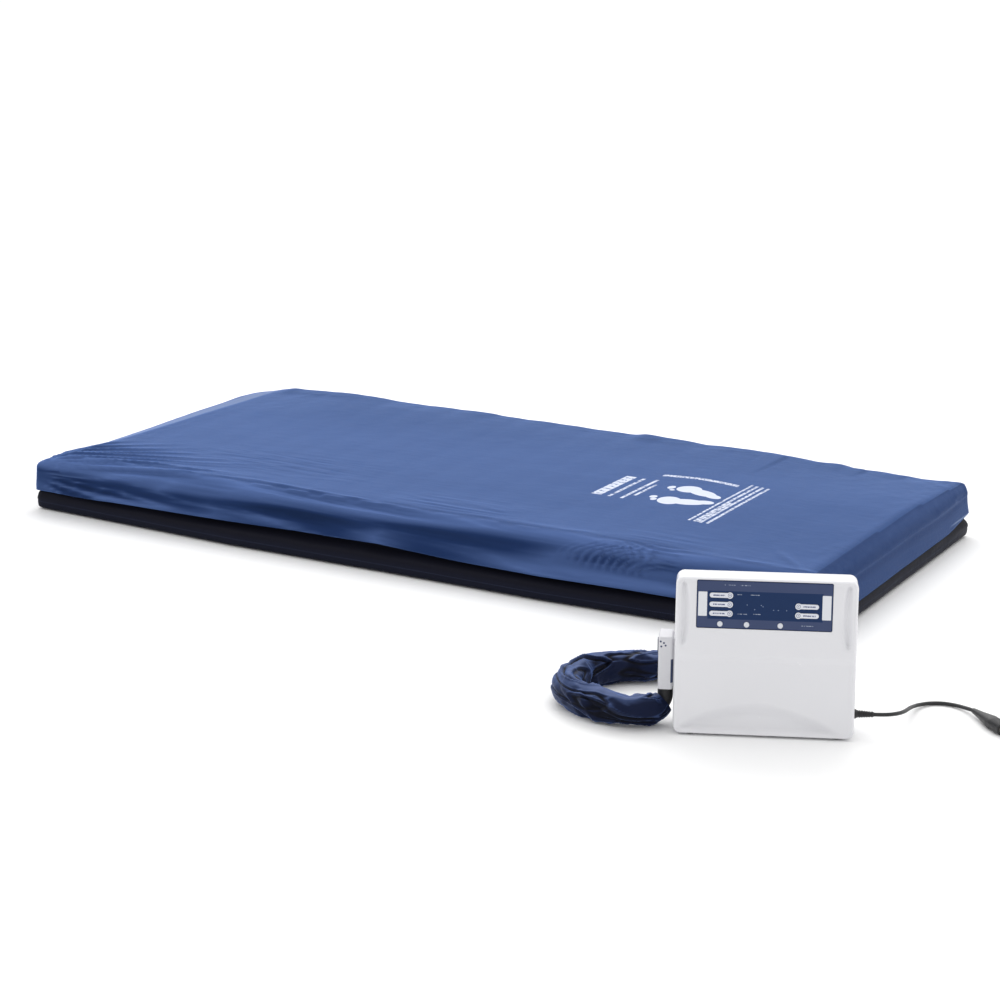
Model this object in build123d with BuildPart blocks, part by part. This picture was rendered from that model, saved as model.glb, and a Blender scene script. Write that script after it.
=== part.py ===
"""Pressure relief mattress with its pump, in millimetres.

The row frame has its origin on the floor under the middle of the mattress. +X runs along the
mattress towards the foot end, +Y to the long side away from the pump, and +Z is up. The pump
stands on the floor beside the foot end, turned about the vertical by pump_yaw.
"""

from build123d import *
import os
from math import cos, pi, radians, sin, tan

os.makedirs("parts", exist_ok=True)


# ---------------------------------------------------------------- driving dimensions
# Mattress covers
mattress_length = 2000.0
mattress_width = 900.0
mattress_height = 140.0
cover_wall = 2.0
plan_corner = 45.0        # corner radius seen from above
shoulder = 32.0           # rounding round the top edge
hem_height = 50.0         # lower edge of the top cover's flap
base_height = 72.0        # top of the base cover's wall
zip_gap = 6.0             # between the base cover's wall and the flap

# Mattress filling
foam_height = 45.0
carrier_thickness = 2.0
cell_count = 20
cell_pitch = 98.5
cell_width = 96.5
cell_length = 850.0
cell_wall = 1.2
air_line_radius = 4.5
air_riser_radius = 4.0
air_line_y = -433.0
air_line_heights = {"a": 66.0, "b": 88.0}
air_line_risers = {"a": 900.0, "b": 926.0}

# Where the umbilical enters the base cover
entry_x = 915.0
entry_height = 27.0
entry_spigot_radius = 17.0
entry_flange_radius = 22.0
entry_reach = 28.0        # the spigot's end, out from the base cover

# Pump
pump_yaw = 24.0
pump_x, pump_y = 1110.0, -957.0   # floor point under the middle of the pump's front face
pump_width = 310.0
pump_depth = 100.0
pump_height = 273.5
pump_lean = 9.0           # the front face leans back
pump_wall = 3.0
foot_height = 3.0
parting_y = 62.0          # joint between the front and the rear shell, from the front

# Control panel, measured up the leaning face from the floor
panel_width = 231.5
panel_length = 83.3
panel_x, panel_centre = -3.5, 231.7
panel_thickness = 1.5
panel_sunk = 1.2
key_length, key_height = 40.0, 8.5
key_disc_radius = 5.5
key_travel = 0.8
function_key_rows = (247.5, 231.8, 216.1)
select_key_rows = (232.3, 216.6)
function_key_x = -77.2    # middle of the left keys
select_key_x = 68.5       # middle of the right keys
round_key_places = (-78.6, -33.2, 24.0)
round_key_row = 198.0
round_key_radius = 4.6
window_places = ((-108.8, 232.0), (101.7, 231.2))
window_width, window_length = 15.0, 42.0
fit_gap = 0.3             # round a moving or inset piece
board_sunk = 12.0         # board's front face behind the case's front face
board_thickness = 1.6

# Umbilical and its coupler
coupler_width, coupler_depth = 26.0, 50.0
coupler_bottom, coupler_top = 70.0, 165.0
coupler_y = 64.0
port_y = 74.0
port_heights = (105.0, 140.0)
sleeve_radius = 29.0
sleeve_axis_height = 29.4
cuff_radius = 13.5

# Mains lead
lead_radius = 3.5
boot_y, boot_height, boot_length = 40.0, 38.0, 34.0


# ---------------------------------------------------------------- helpers
def bend_radii(points):
    """The largest arc that the two runs at each point leave room for."""
    places = [Vector(*p) for p in points]
    runs = [b - a for a, b in zip(places, places[1:])]
    radii = []
    for first, second in zip(runs, runs[1:]):
        half_turn = radians(first.get_angle(second)) / 2
        radii.append(0.45 * min(first.length, second.length) / tan(half_turn))
    return radii


across = Vector(cos(radians(pump_yaw)), sin(radians(pump_yaw)), 0)
backwards = Vector(-sin(radians(pump_yaw)), cos(radians(pump_yaw)), 0)
upwards = Vector(0, 0, 1)
face_normal = upwards * sin(radians(pump_lean)) - backwards * cos(radians(pump_lean))


def pump_point(x, y, z):
    """A place on the pump: x from its middle, y back from its front edge, z from the floor."""
    return Vector(pump_x, pump_y, 0) + across * x + backwards * y + upwards * z


def pump_level(z):
    """Horizontal plane: sketch x across the pump, sketch y towards its back."""
    return Plane(origin=pump_point(0, 0, z), x_dir=across, z_dir=upwards)


def pump_side(x):
    """Upright plane across the pump's width: sketch x towards its back, sketch y up."""
    return Plane(origin=pump_point(x, 0, 0), x_dir=backwards, z_dir=across)


def pump_elevation(y):
    """Upright plane seen from the front: sketch x across, sketch y up."""
    return Plane(origin=pump_point(0, y, 0), x_dir=across, z_dir=backwards * -1)


def pump_face(sunk):
    """Plane of the leaning front face, sunk into the case: sketch y is up the face."""
    return Plane(origin=pump_point(0, 0, 0) - face_normal * sunk, x_dir=across, z_dir=face_normal)


# ---------------------------------------------------------------- covers
with BuildPart() as top_cover:
    with BuildSketch(Plane.XY.offset(hem_height)):
        RectangleRounded(mattress_length, mattress_width, plan_corner)
    extrude(amount=mattress_height - hem_height)
    fillet(top_cover.faces().sort_by(Axis.Z)[-1].edges(), shoulder)
    offset(amount=-cover_wall, openings=top_cover.faces().sort_by(Axis.Z)[0])
top_cover.part.label = "top_cover"
export_step(top_cover.part, "parts/top_cover.step")

base_length = mattress_length - 2 * (cover_wall + zip_gap)
base_width = mattress_width - 2 * (cover_wall + zip_gap)
base_corner = plan_corner - cover_wall - zip_gap

with BuildPart() as base_cover:
    with BuildSketch():
        RectangleRounded(base_length, base_width, base_corner)
    extrude(amount=base_height)
    with BuildSketch(Plane.XY.offset(cover_wall)):
        RectangleRounded(base_length - 2 * cover_wall, base_width - 2 * cover_wall, base_corner - cover_wall)
    extrude(amount=base_height, mode=Mode.SUBTRACT)
    with BuildSketch(Plane.XZ.offset(base_width / 2)):
        with Locations((entry_x, entry_height)):
            Circle(entry_spigot_radius - 2)
    extrude(amount=-cover_wall, mode=Mode.SUBTRACT)
base_cover.part.label = "base_cover"
export_step(base_cover.part, "parts/base_cover.step")

chain_thickness = 2.5
zip_bottom, zip_top, zip_web = 58.0, 84.0, 1.5

with BuildPart() as zip_tape:
    with BuildSketch(Plane.XY.offset(zip_bottom)):
        RectangleRounded(
            base_length + 2 * chain_thickness, base_width + 2 * chain_thickness, base_corner + chain_thickness
        )
        RectangleRounded(base_length, base_width, base_corner, mode=Mode.SUBTRACT)
    extrude(amount=zip_top - zip_bottom)
    with BuildSketch(Plane.XY.offset(zip_top - zip_web)):
        RectangleRounded(base_length + 2 * zip_gap, base_width + 2 * zip_gap, base_corner + zip_gap)
        RectangleRounded(base_length, base_width, base_corner, mode=Mode.SUBTRACT)
    extrude(amount=zip_web)
zip_tape.part.label = "zip_tape"
export_step(zip_tape.part, "parts/zip_tape.step")

slider_x = -880.0
slider_face = base_width / 2 + chain_thickness + fit_gap

with BuildPart() as zip_slider:
    with BuildSketch(Plane.XZ.offset(-slider_face)):
        with Locations((slider_x, 68)):
            RectangleRounded(15, 13, 3)
        with Locations((slider_x, 58)):
            SlotOverall(16, 6, rotation=90)
    extrude(amount=-2.6)
    with BuildSketch(Plane.XZ.offset(-slider_face - 0.6)):
        with Locations((slider_x, 44)):
            SlotOverall(28, 8, rotation=90)
        with Locations((slider_x, 36)):
            Circle(2, mode=Mode.SUBTRACT)
    extrude(amount=-1.4)
zip_slider.part.label = "zip_slider"
export_step(zip_slider.part, "parts/zip_slider.step")


# ---------------------------------------------------------------- mattress filling
notch_width, notch_depth = 62.0, 15.0
inner_width = base_width - 2 * cover_wall

with BuildPart() as foam_base:
    with BuildSketch(Plane.XY.offset(cover_wall)):
        RectangleRounded(base_length - 2 * cover_wall - 1, inner_width - 1, base_corner - cover_wall)
        with Locations((entry_x, -inner_width / 2)):
            Rectangle(notch_width, 2 * notch_depth, mode=Mode.SUBTRACT)
    extrude(amount=foam_height)
foam_base.part.label = "foam_base"
export_step(foam_base.part, "parts/foam_base.step")

carrier_bottom = cover_wall + foam_height

with BuildPart() as cell_carrier_sheet:
    with BuildSketch(Plane.XY.offset(carrier_bottom)):
        RectangleRounded(cell_count * cell_pitch - 8, cell_length - 14, 25)
    extrude(amount=carrier_thickness)
cell_carrier_sheet.part.label = "cell_carrier_sheet"
export_step(cell_carrier_sheet.part, "parts/cell_carrier_sheet.step")

cell_bottom = carrier_bottom + carrier_thickness
cell_height = mattress_height - cover_wall - cell_bottom
head_cell_height = 58.0   # the first cell is lower, so that the head end slopes
foot_cell_heights = (84.0, 81.0, 78.0, 74.0)  # the last cells step down towards the foot


def air_cell(x, height=cell_height):
    """A closed bag across the mattress, with a thin wall round its air space."""
    with BuildPart() as cell:
        with BuildSketch(Plane.XZ.offset(cell_length / 2)):
            with Locations((x, cell_bottom + height / 2)):
                RectangleRounded(cell_width, height, 28)
        extrude(amount=-cell_length)
        fillet(cell.faces().filter_by(Axis.Y).edges(), 10)
        with BuildSketch(Plane.XZ.offset(cell_length / 2 - cell_wall)):
            with Locations((x, cell_bottom + height / 2)):
                RectangleRounded(cell_width - 20, height - 20, 18)
        extrude(amount=-(cell_length - 2 * cell_wall), mode=Mode.SUBTRACT)
        with BuildSketch(Plane.XZ.offset(cell_length / 2 - 10)):
            with Locations((x, cell_bottom + height / 2)):
                RectangleRounded(cell_width - 2 * cell_wall, height - 2 * cell_wall, 28 - cell_wall)
        extrude(amount=-(cell_length - 20), mode=Mode.SUBTRACT)
    return cell.part


cell_places = [(i - (cell_count - 1) / 2) * cell_pitch for i in range(cell_count)]
head_cells = 3            # the cells under the head stay inflated and share one node

with BuildPart() as static_head_cells:
    add(air_cell(cell_places[0], head_cell_height))
    add([air_cell(x) for x in cell_places[1:head_cells]])
static_head_cells.part.label = "static_head_cells"
export_step(static_head_cells.part, "parts/static_head_cells.step")

heights = [cell_height] * (cell_count - len(foot_cell_heights)) + list(foot_cell_heights)
for number, x in enumerate(cell_places[head_cells:], head_cells + 1):
    cell_part = air_cell(x, heights[number - 1])
    cell_part.label = f"air_cell_{number:02d}"
    export_step(cell_part, f"parts/air_cell_{number:02d}.step")

manifold_top = 58.0


def air_line(height, riser_x, cells):
    """A supply line beside the cell ends, with a stub to each of its cells."""
    start_x = cells[0] - 8
    end_x = max(riser_x, cells[-1] + 8)
    with BuildPart() as line:
        with BuildSketch(Plane.YZ.offset(start_x)):
            with Locations((air_line_y, height)):
                Circle(air_line_radius)
        extrude(amount=end_x - start_x)
        with BuildSketch(Plane.XY.offset(manifold_top)):
            with Locations((riser_x, air_line_y)):
                Circle(air_riser_radius)
        extrude(amount=height - manifold_top)
        with BuildSketch(Plane.XZ.offset(-air_line_y)):
            with Locations(*[(x, height) for x in cells]):
                Circle(2.6)
        extrude(amount=air_line_y + cell_length / 2)
        with BuildSketch(Plane.YZ.offset(start_x + 3)):
            with Locations((air_line_y, height)):
                Circle(air_line_radius - 1.5)
        extrude(amount=end_x - start_x - 6, mode=Mode.SUBTRACT)
        with BuildSketch(Plane.XY.offset(manifold_top)):
            with Locations((riser_x, air_line_y)):
                Circle(air_riser_radius - 1.5)
        extrude(amount=height - manifold_top, mode=Mode.SUBTRACT)
    return line.part


for name, cells in (("a", cell_places[0::2]), ("b", cell_places[1::2])):
    line_part = air_line(air_line_heights[name], air_line_risers[name], cells)
    line_part.label = f"air_line_{name}"
    export_step(line_part, f"parts/air_line_{name}.step")

with BuildPart() as hose_entry_fitting:
    with BuildSketch(Plane.XZ.offset(base_width / 2)):
        with Locations((entry_x, entry_height)):
            Circle(entry_spigot_radius)
    extrude(amount=entry_reach)
    with BuildSketch(Plane.XZ.offset(base_width / 2)):
        with Locations((entry_x, entry_height)):
            Circle(entry_flange_radius)
    extrude(amount=4)
    with BuildSketch(Plane.XZ.offset(base_width / 2)):
        with Locations((entry_x, entry_height)):
            Circle(entry_spigot_radius - 2)
    extrude(amount=-cover_wall)
    with BuildSketch(Plane.XZ.offset(inner_width / 2)):
        with Locations((entry_x, (manifold_top + 6) / 2)):
            RectangleRounded(notch_width - 2, manifold_top - 6, 3)
    extrude(amount=-(notch_depth - 1))
    with BuildSketch(Plane.XZ.offset(base_width / 2 + entry_reach)):
        with Locations((entry_x, entry_height)):
            Circle(entry_spigot_radius - 5)
    extrude(amount=-(entry_reach + 10), mode=Mode.SUBTRACT)
hose_entry_fitting.part.label = "hose_entry_fitting"
export_step(hose_entry_fitting.part, "parts/hose_entry_fitting.step")


# ---------------------------------------------------------------- pump case
def case_form(inset):
    """The pump case's outer form, or with an inset the space inside its walls."""
    low, high = foot_height + inset, pump_height - inset
    front_inset = inset / cos(radians(pump_lean))
    lean = tan(radians(pump_lean))
    with BuildPart() as form:
        with BuildSketch(pump_side(-pump_width / 2 + inset)):
            with BuildLine():
                Polyline(
                    (low * lean + front_inset, low),
                    (pump_depth - inset, low),
                    (pump_depth - inset, high),
                    (high * lean + front_inset, high),
                    close=True,
                )
            make_face()
        extrude(amount=pump_width - 2 * inset)
        fillet(form.edges().filter_by(Axis(pump_point(0, 0, 0), backwards)), 14 - inset)
        fillet(form.faces().sort_by(Axis(pump_point(0, 0, 0), backwards))[-1].edges(), 14 - inset)
        fillet(form.faces().filter_by(Plane(origin=(0, 0, 0), z_dir=face_normal)).edges(), 8 - inset)
    return form.part


outer_form = case_form(0)
inner_form = case_form(pump_wall)
screw_places = [(-140, 20), (140, 20), (-140, 255), (140, 255)]
board_posts = [(panel_x + side * 119, panel_centre + up) for side in (-1, 1) for up in (-28, 28)]
foot_places = [(-125, 22), (125, 22), (-125, 80), (125, 80)]

with BuildPart() as front_shell:
    add(outer_form)
    add(inner_form, mode=Mode.SUBTRACT)
    # posts for the circuit board and for the case screws, cut off at the outer form
    with BuildSketch(pump_face(board_sunk)):
        with Locations(*board_posts):
            Circle(3.5)
    extrude(amount=board_sunk - 1)
    with BuildSketch(pump_elevation(parting_y)):
        with Locations(*screw_places):
            Circle(5)
    extrude(amount=parting_y)
    add(outer_form, mode=Mode.INTERSECT)
    with BuildSketch(pump_elevation(parting_y)):
        with Locations(*screw_places):
            Circle(1.9)
    extrude(amount=12, mode=Mode.SUBTRACT)
    # seat and opening for the control panel
    with BuildSketch(pump_face(panel_sunk)):
        with Locations((panel_x, panel_centre)):
            RectangleRounded(panel_width, panel_length, 3)
    extrude(amount=5, mode=Mode.SUBTRACT)
    with BuildSketch(pump_face(pump_wall + 1)):
        with Locations((panel_x, panel_centre)):
            RectangleRounded(panel_width - 6, panel_length - 5, 3)
    extrude(amount=5, mode=Mode.SUBTRACT)
    # hole for the cord boot's neck
    with BuildSketch(pump_side(pump_width / 2)):
        with Locations((boot_y, boot_height)):
            Circle(6)
    extrude(amount=-10, mode=Mode.SUBTRACT)
    split(bisect_by=pump_elevation(parting_y), keep=Keep.TOP)
front_shell.part.label = "front_shell"
export_step(front_shell.part, "parts/front_shell.step")

hook_pivot_x, hook_pivot_y = 115.0, 107.0
hook_low, hook_high = 181.0, 201.0
hinge_pin_radius = 2.5
running_gap = 0.06
filter_hinge_y, filter_hinge_z = 103.0, 112.0
filter_centre = 88.0
filter_pin_radius = 1.2
rocker_y, rocker_z = 78.0, 72.0
rocker_width, rocker_length = 13.0, 19.0

with BuildPart() as rear_shell:
    add(outer_form)
    add(inner_form, mode=Mode.SUBTRACT)
    with BuildSketch(pump_elevation(parting_y)):
        with Locations(*screw_places):
            Circle(7)
    extrude(amount=-(pump_depth - parting_y))
    # box that holds the air filter
    with BuildSketch(pump_elevation(pump_depth - pump_wall)):
        with Locations((0, filter_centre)):
            Rectangle(60, 40)
    extrude(amount=9)
    add(outer_form, mode=Mode.INTERSECT)
    with BuildSketch(pump_elevation(parting_y)):
        with Locations(*screw_places):
            Circle(2.1)
    extrude(amount=-(pump_depth - parting_y), mode=Mode.SUBTRACT)
    with BuildSketch(pump_elevation(parting_y + 4)):
        with Locations(*screw_places):
            Circle(4.2)
    extrude(amount=-(pump_depth - parting_y), mode=Mode.SUBTRACT)
    with BuildSketch(pump_elevation(pump_depth)):
        with Locations((0, filter_centre)):
            Rectangle(56, 36)
    extrude(amount=10, mode=Mode.SUBTRACT)
    with BuildSketch(pump_elevation(pump_depth)):
        with Locations((0, filter_centre)):
            Rectangle(48, 28)
    extrude(amount=14, mode=Mode.SUBTRACT)
    # holes for the coupler's two nipples and for the mains switch
    with BuildSketch(pump_side(-pump_width / 2)):
        with Locations(*[(port_y, z) for z in port_heights]):
            Circle(6)
    extrude(amount=pump_wall + 1, mode=Mode.SUBTRACT)
    with BuildSketch(pump_side(pump_width / 2)):
        with Locations((rocker_y, rocker_z)):
            RectangleRounded(rocker_width + 1, rocker_length + 3, 1)
    extrude(amount=-pump_wall - 1, mode=Mode.SUBTRACT)
    split(bisect_by=pump_elevation(parting_y), keep=Keep.BOTTOM)
    # lugs for the two bed hooks
    for side in (-1, 1):
        with BuildSketch(pump_level(hook_low - 4 - fit_gap)):
            with Locations((side * hook_pivot_x, pump_depth + 1)):
                Rectangle(14, 12)
            with Locations((side * hook_pivot_x, hook_pivot_y)):
                Circle(7)
                Circle(hinge_pin_radius, mode=Mode.SUBTRACT)
        extrude(amount=4)
        with BuildSketch(pump_level(hook_high + fit_gap)):
            with Locations((side * hook_pivot_x, pump_depth + 1)):
                Rectangle(14, 12)
            with Locations((side * hook_pivot_x, hook_pivot_y)):
                Circle(7)
                Circle(hinge_pin_radius, mode=Mode.SUBTRACT)
        extrude(amount=4)
    # ears and pins for the filter cover
    for side in (-1, 1):
        with BuildSketch(pump_side(side * 25.4)):
            with Locations((filter_hinge_y, filter_hinge_z)):
                Circle(3)
            with Locations((filter_hinge_y - 3, filter_hinge_z)):
                Rectangle(6, 6)
        extrude(amount=side * 4)
        with BuildSketch(pump_side(side * 25.4)):
            with Locations((filter_hinge_y, filter_hinge_z)):
                Circle(filter_pin_radius)
        extrude(amount=-side * 8)
rear_shell.part.label = "rear_shell"
export_step(rear_shell.part, "parts/rear_shell.step")

with BuildPart() as rubber_feet:
    with BuildSketch(pump_level(0)):
        with Locations(*foot_places):
            Circle(9)
    extrude(amount=foot_height)
rubber_feet.part.label = "rubber_feet"
export_step(rubber_feet.part, "parts/rubber_feet.step")

with BuildPart() as shell_screws:
    with BuildSketch(pump_elevation(parting_y + 4)):
        with Locations(*screw_places):
            Circle(1.9)
    extrude(amount=14)
    with BuildSketch(pump_elevation(parting_y + 4)):
        with Locations(*screw_places):
            Circle(3.9)
    extrude(amount=-2.5)
    with BuildSketch(pump_elevation(parting_y + 6.5)):
        with Locations(*screw_places):
            Rectangle(5.4, 1.1)
            Rectangle(1.1, 5.4)
    extrude(amount=1.4, mode=Mode.SUBTRACT)
shell_screws.part.label = "shell_screws"
export_step(shell_screws.part, "parts/shell_screws.step")


# ---------------------------------------------------------------- control panel and keys
def key_outline(middle_x, row, disc_side, gap):
    """Pill with a larger disc at one end, at a row up the face."""
    with Locations((middle_x, row)):
        SlotOverall(key_length + 2 * gap, key_height + 2 * gap)
    with Locations((middle_x + disc_side * (key_length / 2 - key_disc_radius), row)):
        Circle(key_disc_radius + gap)


key_table = [(f"function_key_{n + 1}", function_key_x, row, 1) for n, row in enumerate(function_key_rows)]
key_table += [(f"select_key_{n + 1}", select_key_x, row, -1) for n, row in enumerate(select_key_rows)]
panel_front = panel_thickness - panel_sunk

with BuildPart() as control_panel:
    with BuildSketch(pump_face(panel_sunk)):
        with Locations((panel_x, panel_centre)):
            RectangleRounded(panel_width, panel_length, 3)
    extrude(amount=panel_thickness)
    with BuildSketch(pump_face(panel_sunk)):
        for _, middle_x, row, disc_side in key_table:
            key_outline(middle_x, row, disc_side, fit_gap)
        with Locations(*[(x, round_key_row) for x in round_key_places]):
            Circle(round_key_radius + fit_gap)
        with Locations(*window_places):
            RectangleRounded(window_width, window_length, 1)
    extrude(amount=panel_thickness, mode=Mode.SUBTRACT)
control_panel.part.label = "control_panel"
export_step(control_panel.part, "parts/control_panel.step")

with BuildPart() as status_windows:
    with BuildSketch(pump_face(panel_sunk)):
        with Locations(*window_places):
            RectangleRounded(window_width, window_length, 1)
    extrude(amount=panel_thickness + 0.2)
status_windows.part.label = "status_windows"
export_step(status_windows.part, "parts/status_windows.step")

key_back = 3.6            # back of a key's cap, behind the case's front face
key_proud = 1.3           # front of a key's cap, before the case's front face
stem_end = 9.0

for name, middle_x, row, disc_side in key_table:
    disc_x = middle_x + disc_side * (key_length / 2 - key_disc_radius)
    with BuildPart() as key:
        with BuildSketch(pump_face(key_back)):
            key_outline(middle_x, row, disc_side, 0)
        extrude(amount=key_back + key_proud - 0.3)
        with BuildSketch(pump_face(0.3 - key_proud)):
            key_outline(middle_x, row, disc_side, -0.3)
        extrude(amount=0.3)
        with BuildSketch(pump_face(-key_proud)):
            with Locations((disc_x, row)):
                Circle(3.6)
                Circle(2.7, mode=Mode.SUBTRACT)
        extrude(amount=-0.3, mode=Mode.SUBTRACT)
        with BuildSketch(pump_face(stem_end)):
            with Locations((disc_x, row)):
                Circle(2)
        extrude(amount=stem_end - key_back)
    key.part.label = name
    export_step(key.part, f"parts/{name}.step")

for number, x in enumerate(round_key_places, 1):
    with BuildPart() as round_key:
        with BuildSketch(pump_face(key_back)):
            with Locations((x, round_key_row)):
                Circle(round_key_radius)
        extrude(amount=key_back + key_proud)
        fillet(round_key.faces().sort_by(Axis(pump_point(0, 0, 0), face_normal))[-1].edges(), 0.6)
        with BuildSketch(pump_face(stem_end)):
            with Locations((x, round_key_row)):
                Circle(2)
        extrude(amount=stem_end - key_back)
    round_key.part.label = f"round_key_{number}"
    export_step(round_key.part, f"parts/round_key_{number}.step")

switch_places = [(x + side * (key_length / 2 - key_disc_radius), row) for _, x, row, side in key_table]
switch_places += [(x, round_key_row) for x in round_key_places]

with BuildPart() as circuit_board:
    with BuildSketch(pump_face(board_sunk)):
        with Locations((panel_x, panel_centre)):
            RectangleRounded(244, 80, 3)
    extrude(amount=-board_thickness)
    with BuildSketch(pump_face(board_sunk)):
        with Locations(*switch_places):
            Rectangle(6, 6)
    extrude(amount=1.6)
    # processor, relay, terminal strip and transformer on the board's back
    with BuildSketch(pump_face(board_sunk + board_thickness)):
        with Locations((-20, 238)):
            Rectangle(18, 18)
        with Locations((-52, 222), (-52, 246)):
            Rectangle(12, 9)
    extrude(amount=-2.5)
    with BuildSketch(pump_face(board_sunk + board_thickness)):
        with Locations((-95, 214)):
            Rectangle(30, 12)
        with Locations((30, 214)):
            Rectangle(20, 16)
    extrude(amount=-11)
    with BuildSketch(pump_face(board_sunk + board_thickness)):
        with Locations((82, 222)):
            RectangleRounded(46, 38, 2)
    extrude(amount=-24)
circuit_board.part.label = "circuit_board"
export_step(circuit_board.part, "parts/circuit_board.step")


# ---------------------------------------------------------------- air side of the pump
floor_inside = foot_height + pump_wall
housing_x, housing_y = -5.0, 53.0
housing_length, housing_depth, housing_height = 130.0, 56.0, 74.0
arm_pivot_x = housing_x - 50
arm_pin_radius = 3.0

with BuildPart() as compressor_housing:
    with BuildSketch(pump_level(floor_inside)):
        with Locations((housing_x, housing_y)):
            RectangleRounded(housing_length, housing_depth, 5)
    extrude(amount=housing_height)
    with BuildSketch(pump_level(floor_inside + 4)):
        with Locations((housing_x, housing_y)):
            RectangleRounded(housing_length - 8, housing_depth - 8, 3)
    extrude(amount=housing_height, mode=Mode.SUBTRACT)
    with BuildSketch(pump_level(floor_inside + 4)):
        with Locations((arm_pivot_x, housing_y)):
            Circle(arm_pin_radius)
    extrude(amount=60)
    # two diaphragm chambers and the magnet's core, facing the arm
    with BuildSketch(pump_elevation(housing_y - housing_depth / 2 + 4)):
        with Locations((10, 42)):
            Circle(15)
    extrude(amount=-15)
    with BuildSketch(pump_elevation(housing_y + housing_depth / 2 - 4)):
        with Locations((10, 42)):
            Circle(15)
    extrude(amount=15)
    with BuildSketch(pump_level(floor_inside + 4)):
        with Locations((51, housing_y)):
            Rectangle(7, 30)
    extrude(amount=50)
compressor_housing.part.label = "compressor_housing"
export_step(compressor_housing.part, "parts/compressor_housing.step")

with BuildPart() as compressor_arm:
    with BuildSketch(pump_level(floor_inside + 4 + fit_gap)):
        with Locations((arm_pivot_x, housing_y)):
            Circle(7)
        with Locations((arm_pivot_x + 49, housing_y)):
            Rectangle(98, 8)
        with Locations((arm_pivot_x, housing_y)):
            Circle(arm_pin_radius + running_gap, mode=Mode.SUBTRACT)
    extrude(amount=52)
compressor_arm.part.label = "compressor_arm"
export_step(compressor_arm.part, "parts/compressor_arm.step")

valve_x, valve_y = 104.0, 55.0
valve_radius = 24.0
tube_heights = (32.0, 44.0)
tube_y = 90.0
tube_radius = 3.0
feed_height = 24.0

with BuildPart() as distributor_body:
    with BuildSketch(pump_level(floor_inside)):
        with Locations((valve_x, valve_y)):
            Circle(valve_radius)
    extrude(amount=50)
    with BuildSketch(pump_elevation(82)):
        with Locations(*[(valve_x, z) for z in tube_heights]):
            Circle(4)
    extrude(amount=10)
    with BuildSketch(pump_side(valve_x - valve_radius - 4)):
        with Locations((valve_y, feed_height)):
            Circle(4.5)
    extrude(amount=12)
    with BuildSketch(pump_level(36)):
        with Locations((valve_x, valve_y)):
            Circle(19)
    extrude(amount=30, mode=Mode.SUBTRACT)
    with BuildSketch(pump_level(12)):
        with Locations((valve_x, valve_y)):
            Circle(3 + running_gap)
    extrude(amount=30, mode=Mode.SUBTRACT)
distributor_body.part.label = "distributor_body"
export_step(distributor_body.part, "parts/distributor_body.step")

with BuildPart() as distributor_rotor:
    with BuildSketch(pump_level(13)):
        with Locations((valve_x, valve_y)):
            Circle(3)
    extrude(amount=30)
    with BuildSketch(pump_level(37)):
        with Locations((valve_x, valve_y)):
            Circle(18)
        with Locations((valve_x + 11, valve_y)):
            Circle(3.5, mode=Mode.SUBTRACT)
    extrude(amount=12)
    with BuildSketch(pump_level(49)):
        with Locations((valve_x, valve_y)):
            RegularPolygon(6, 6)
    extrude(amount=5)
distributor_rotor.part.label = "distributor_rotor"
export_step(distributor_rotor.part, "parts/distributor_rotor.step")

nipple_end = -pump_width / 2 + 7


def tube_along(points):
    """Air tube inside the pump, with small bends."""
    places = [pump_point(*p) for p in points]
    with BuildPart() as tube:
        with BuildLine() as route:
            FilletPolyline(*places, radius=5)
        with BuildSketch(Plane(origin=route.line @ 0, z_dir=route.line % 0)):
            Circle(tube_radius)
            Circle(tube_radius - 1.2, mode=Mode.SUBTRACT)
        sweep()
    return tube.part


with BuildPart() as feed_tube:
    with BuildSketch(pump_side(housing_x + housing_length / 2)):
        with Locations((valve_y, feed_height)):
            Circle(tube_radius)
            Circle(tube_radius - 1.2, mode=Mode.SUBTRACT)
    extrude(amount=valve_x - valve_radius - 4 - housing_x - housing_length / 2)

with BuildPart() as internal_tubes:
    add(feed_tube.part)
    for height, port_height, turn_x in zip(tube_heights, port_heights, (-134, -118)):
        add(
            tube_along(
                [
                    (valve_x, 82, height),
                    (valve_x, tube_y, height),
                    (turn_x, tube_y, height),
                    (turn_x, tube_y, port_height),
                    (turn_x, port_y, port_height),
                    (nipple_end, port_y, port_height),
                ]
            )
        )
internal_tubes.part.label = "internal_tubes"
export_step(internal_tubes.part, "parts/internal_tubes.step")


# ---------------------------------------------------------------- back of the pump
def bed_hook(side):
    """Flat hook that folds against the case's back and swings out to hang on a bed's end."""
    pivot = side * hook_pivot_x
    with BuildPart() as hook:
        with BuildSketch(pump_elevation(hook_pivot_y - 2.5)):
            with BuildLine():
                Polyline(
                    (pivot, hook_low),
                    (pivot - side * 62, hook_low),
                    (pivot - side * 62, hook_low - 34),
                    (pivot - side * 76, hook_low - 34),
                    (pivot - side * 80, hook_low - 28),
                    (pivot - side * 80, hook_high),
                    (pivot, hook_high),
                    close=True,
                )
            make_face()
        extrude(amount=-5)
        fillet(hook.edges().filter_by(Axis(pump_point(0, 0, 0), backwards)).group_by(Axis.Z)[-1], 3)
        with BuildSketch(pump_level(hook_low)):
            with Locations((pivot, hook_pivot_y)):
                Circle(6)
        extrude(amount=hook_high - hook_low)
        with BuildSketch(pump_level(hook_low)):
            with Locations((pivot, hook_pivot_y)):
                Circle(hinge_pin_radius + running_gap)
        extrude(amount=hook_high - hook_low, mode=Mode.SUBTRACT)
    return hook.part


for side_name, side in (("left", -1), ("right", 1)):
    hook_part = bed_hook(side)
    hook_part.label = f"hook_{side_name}"
    export_step(hook_part, f"parts/hook_{side_name}.step")

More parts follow.
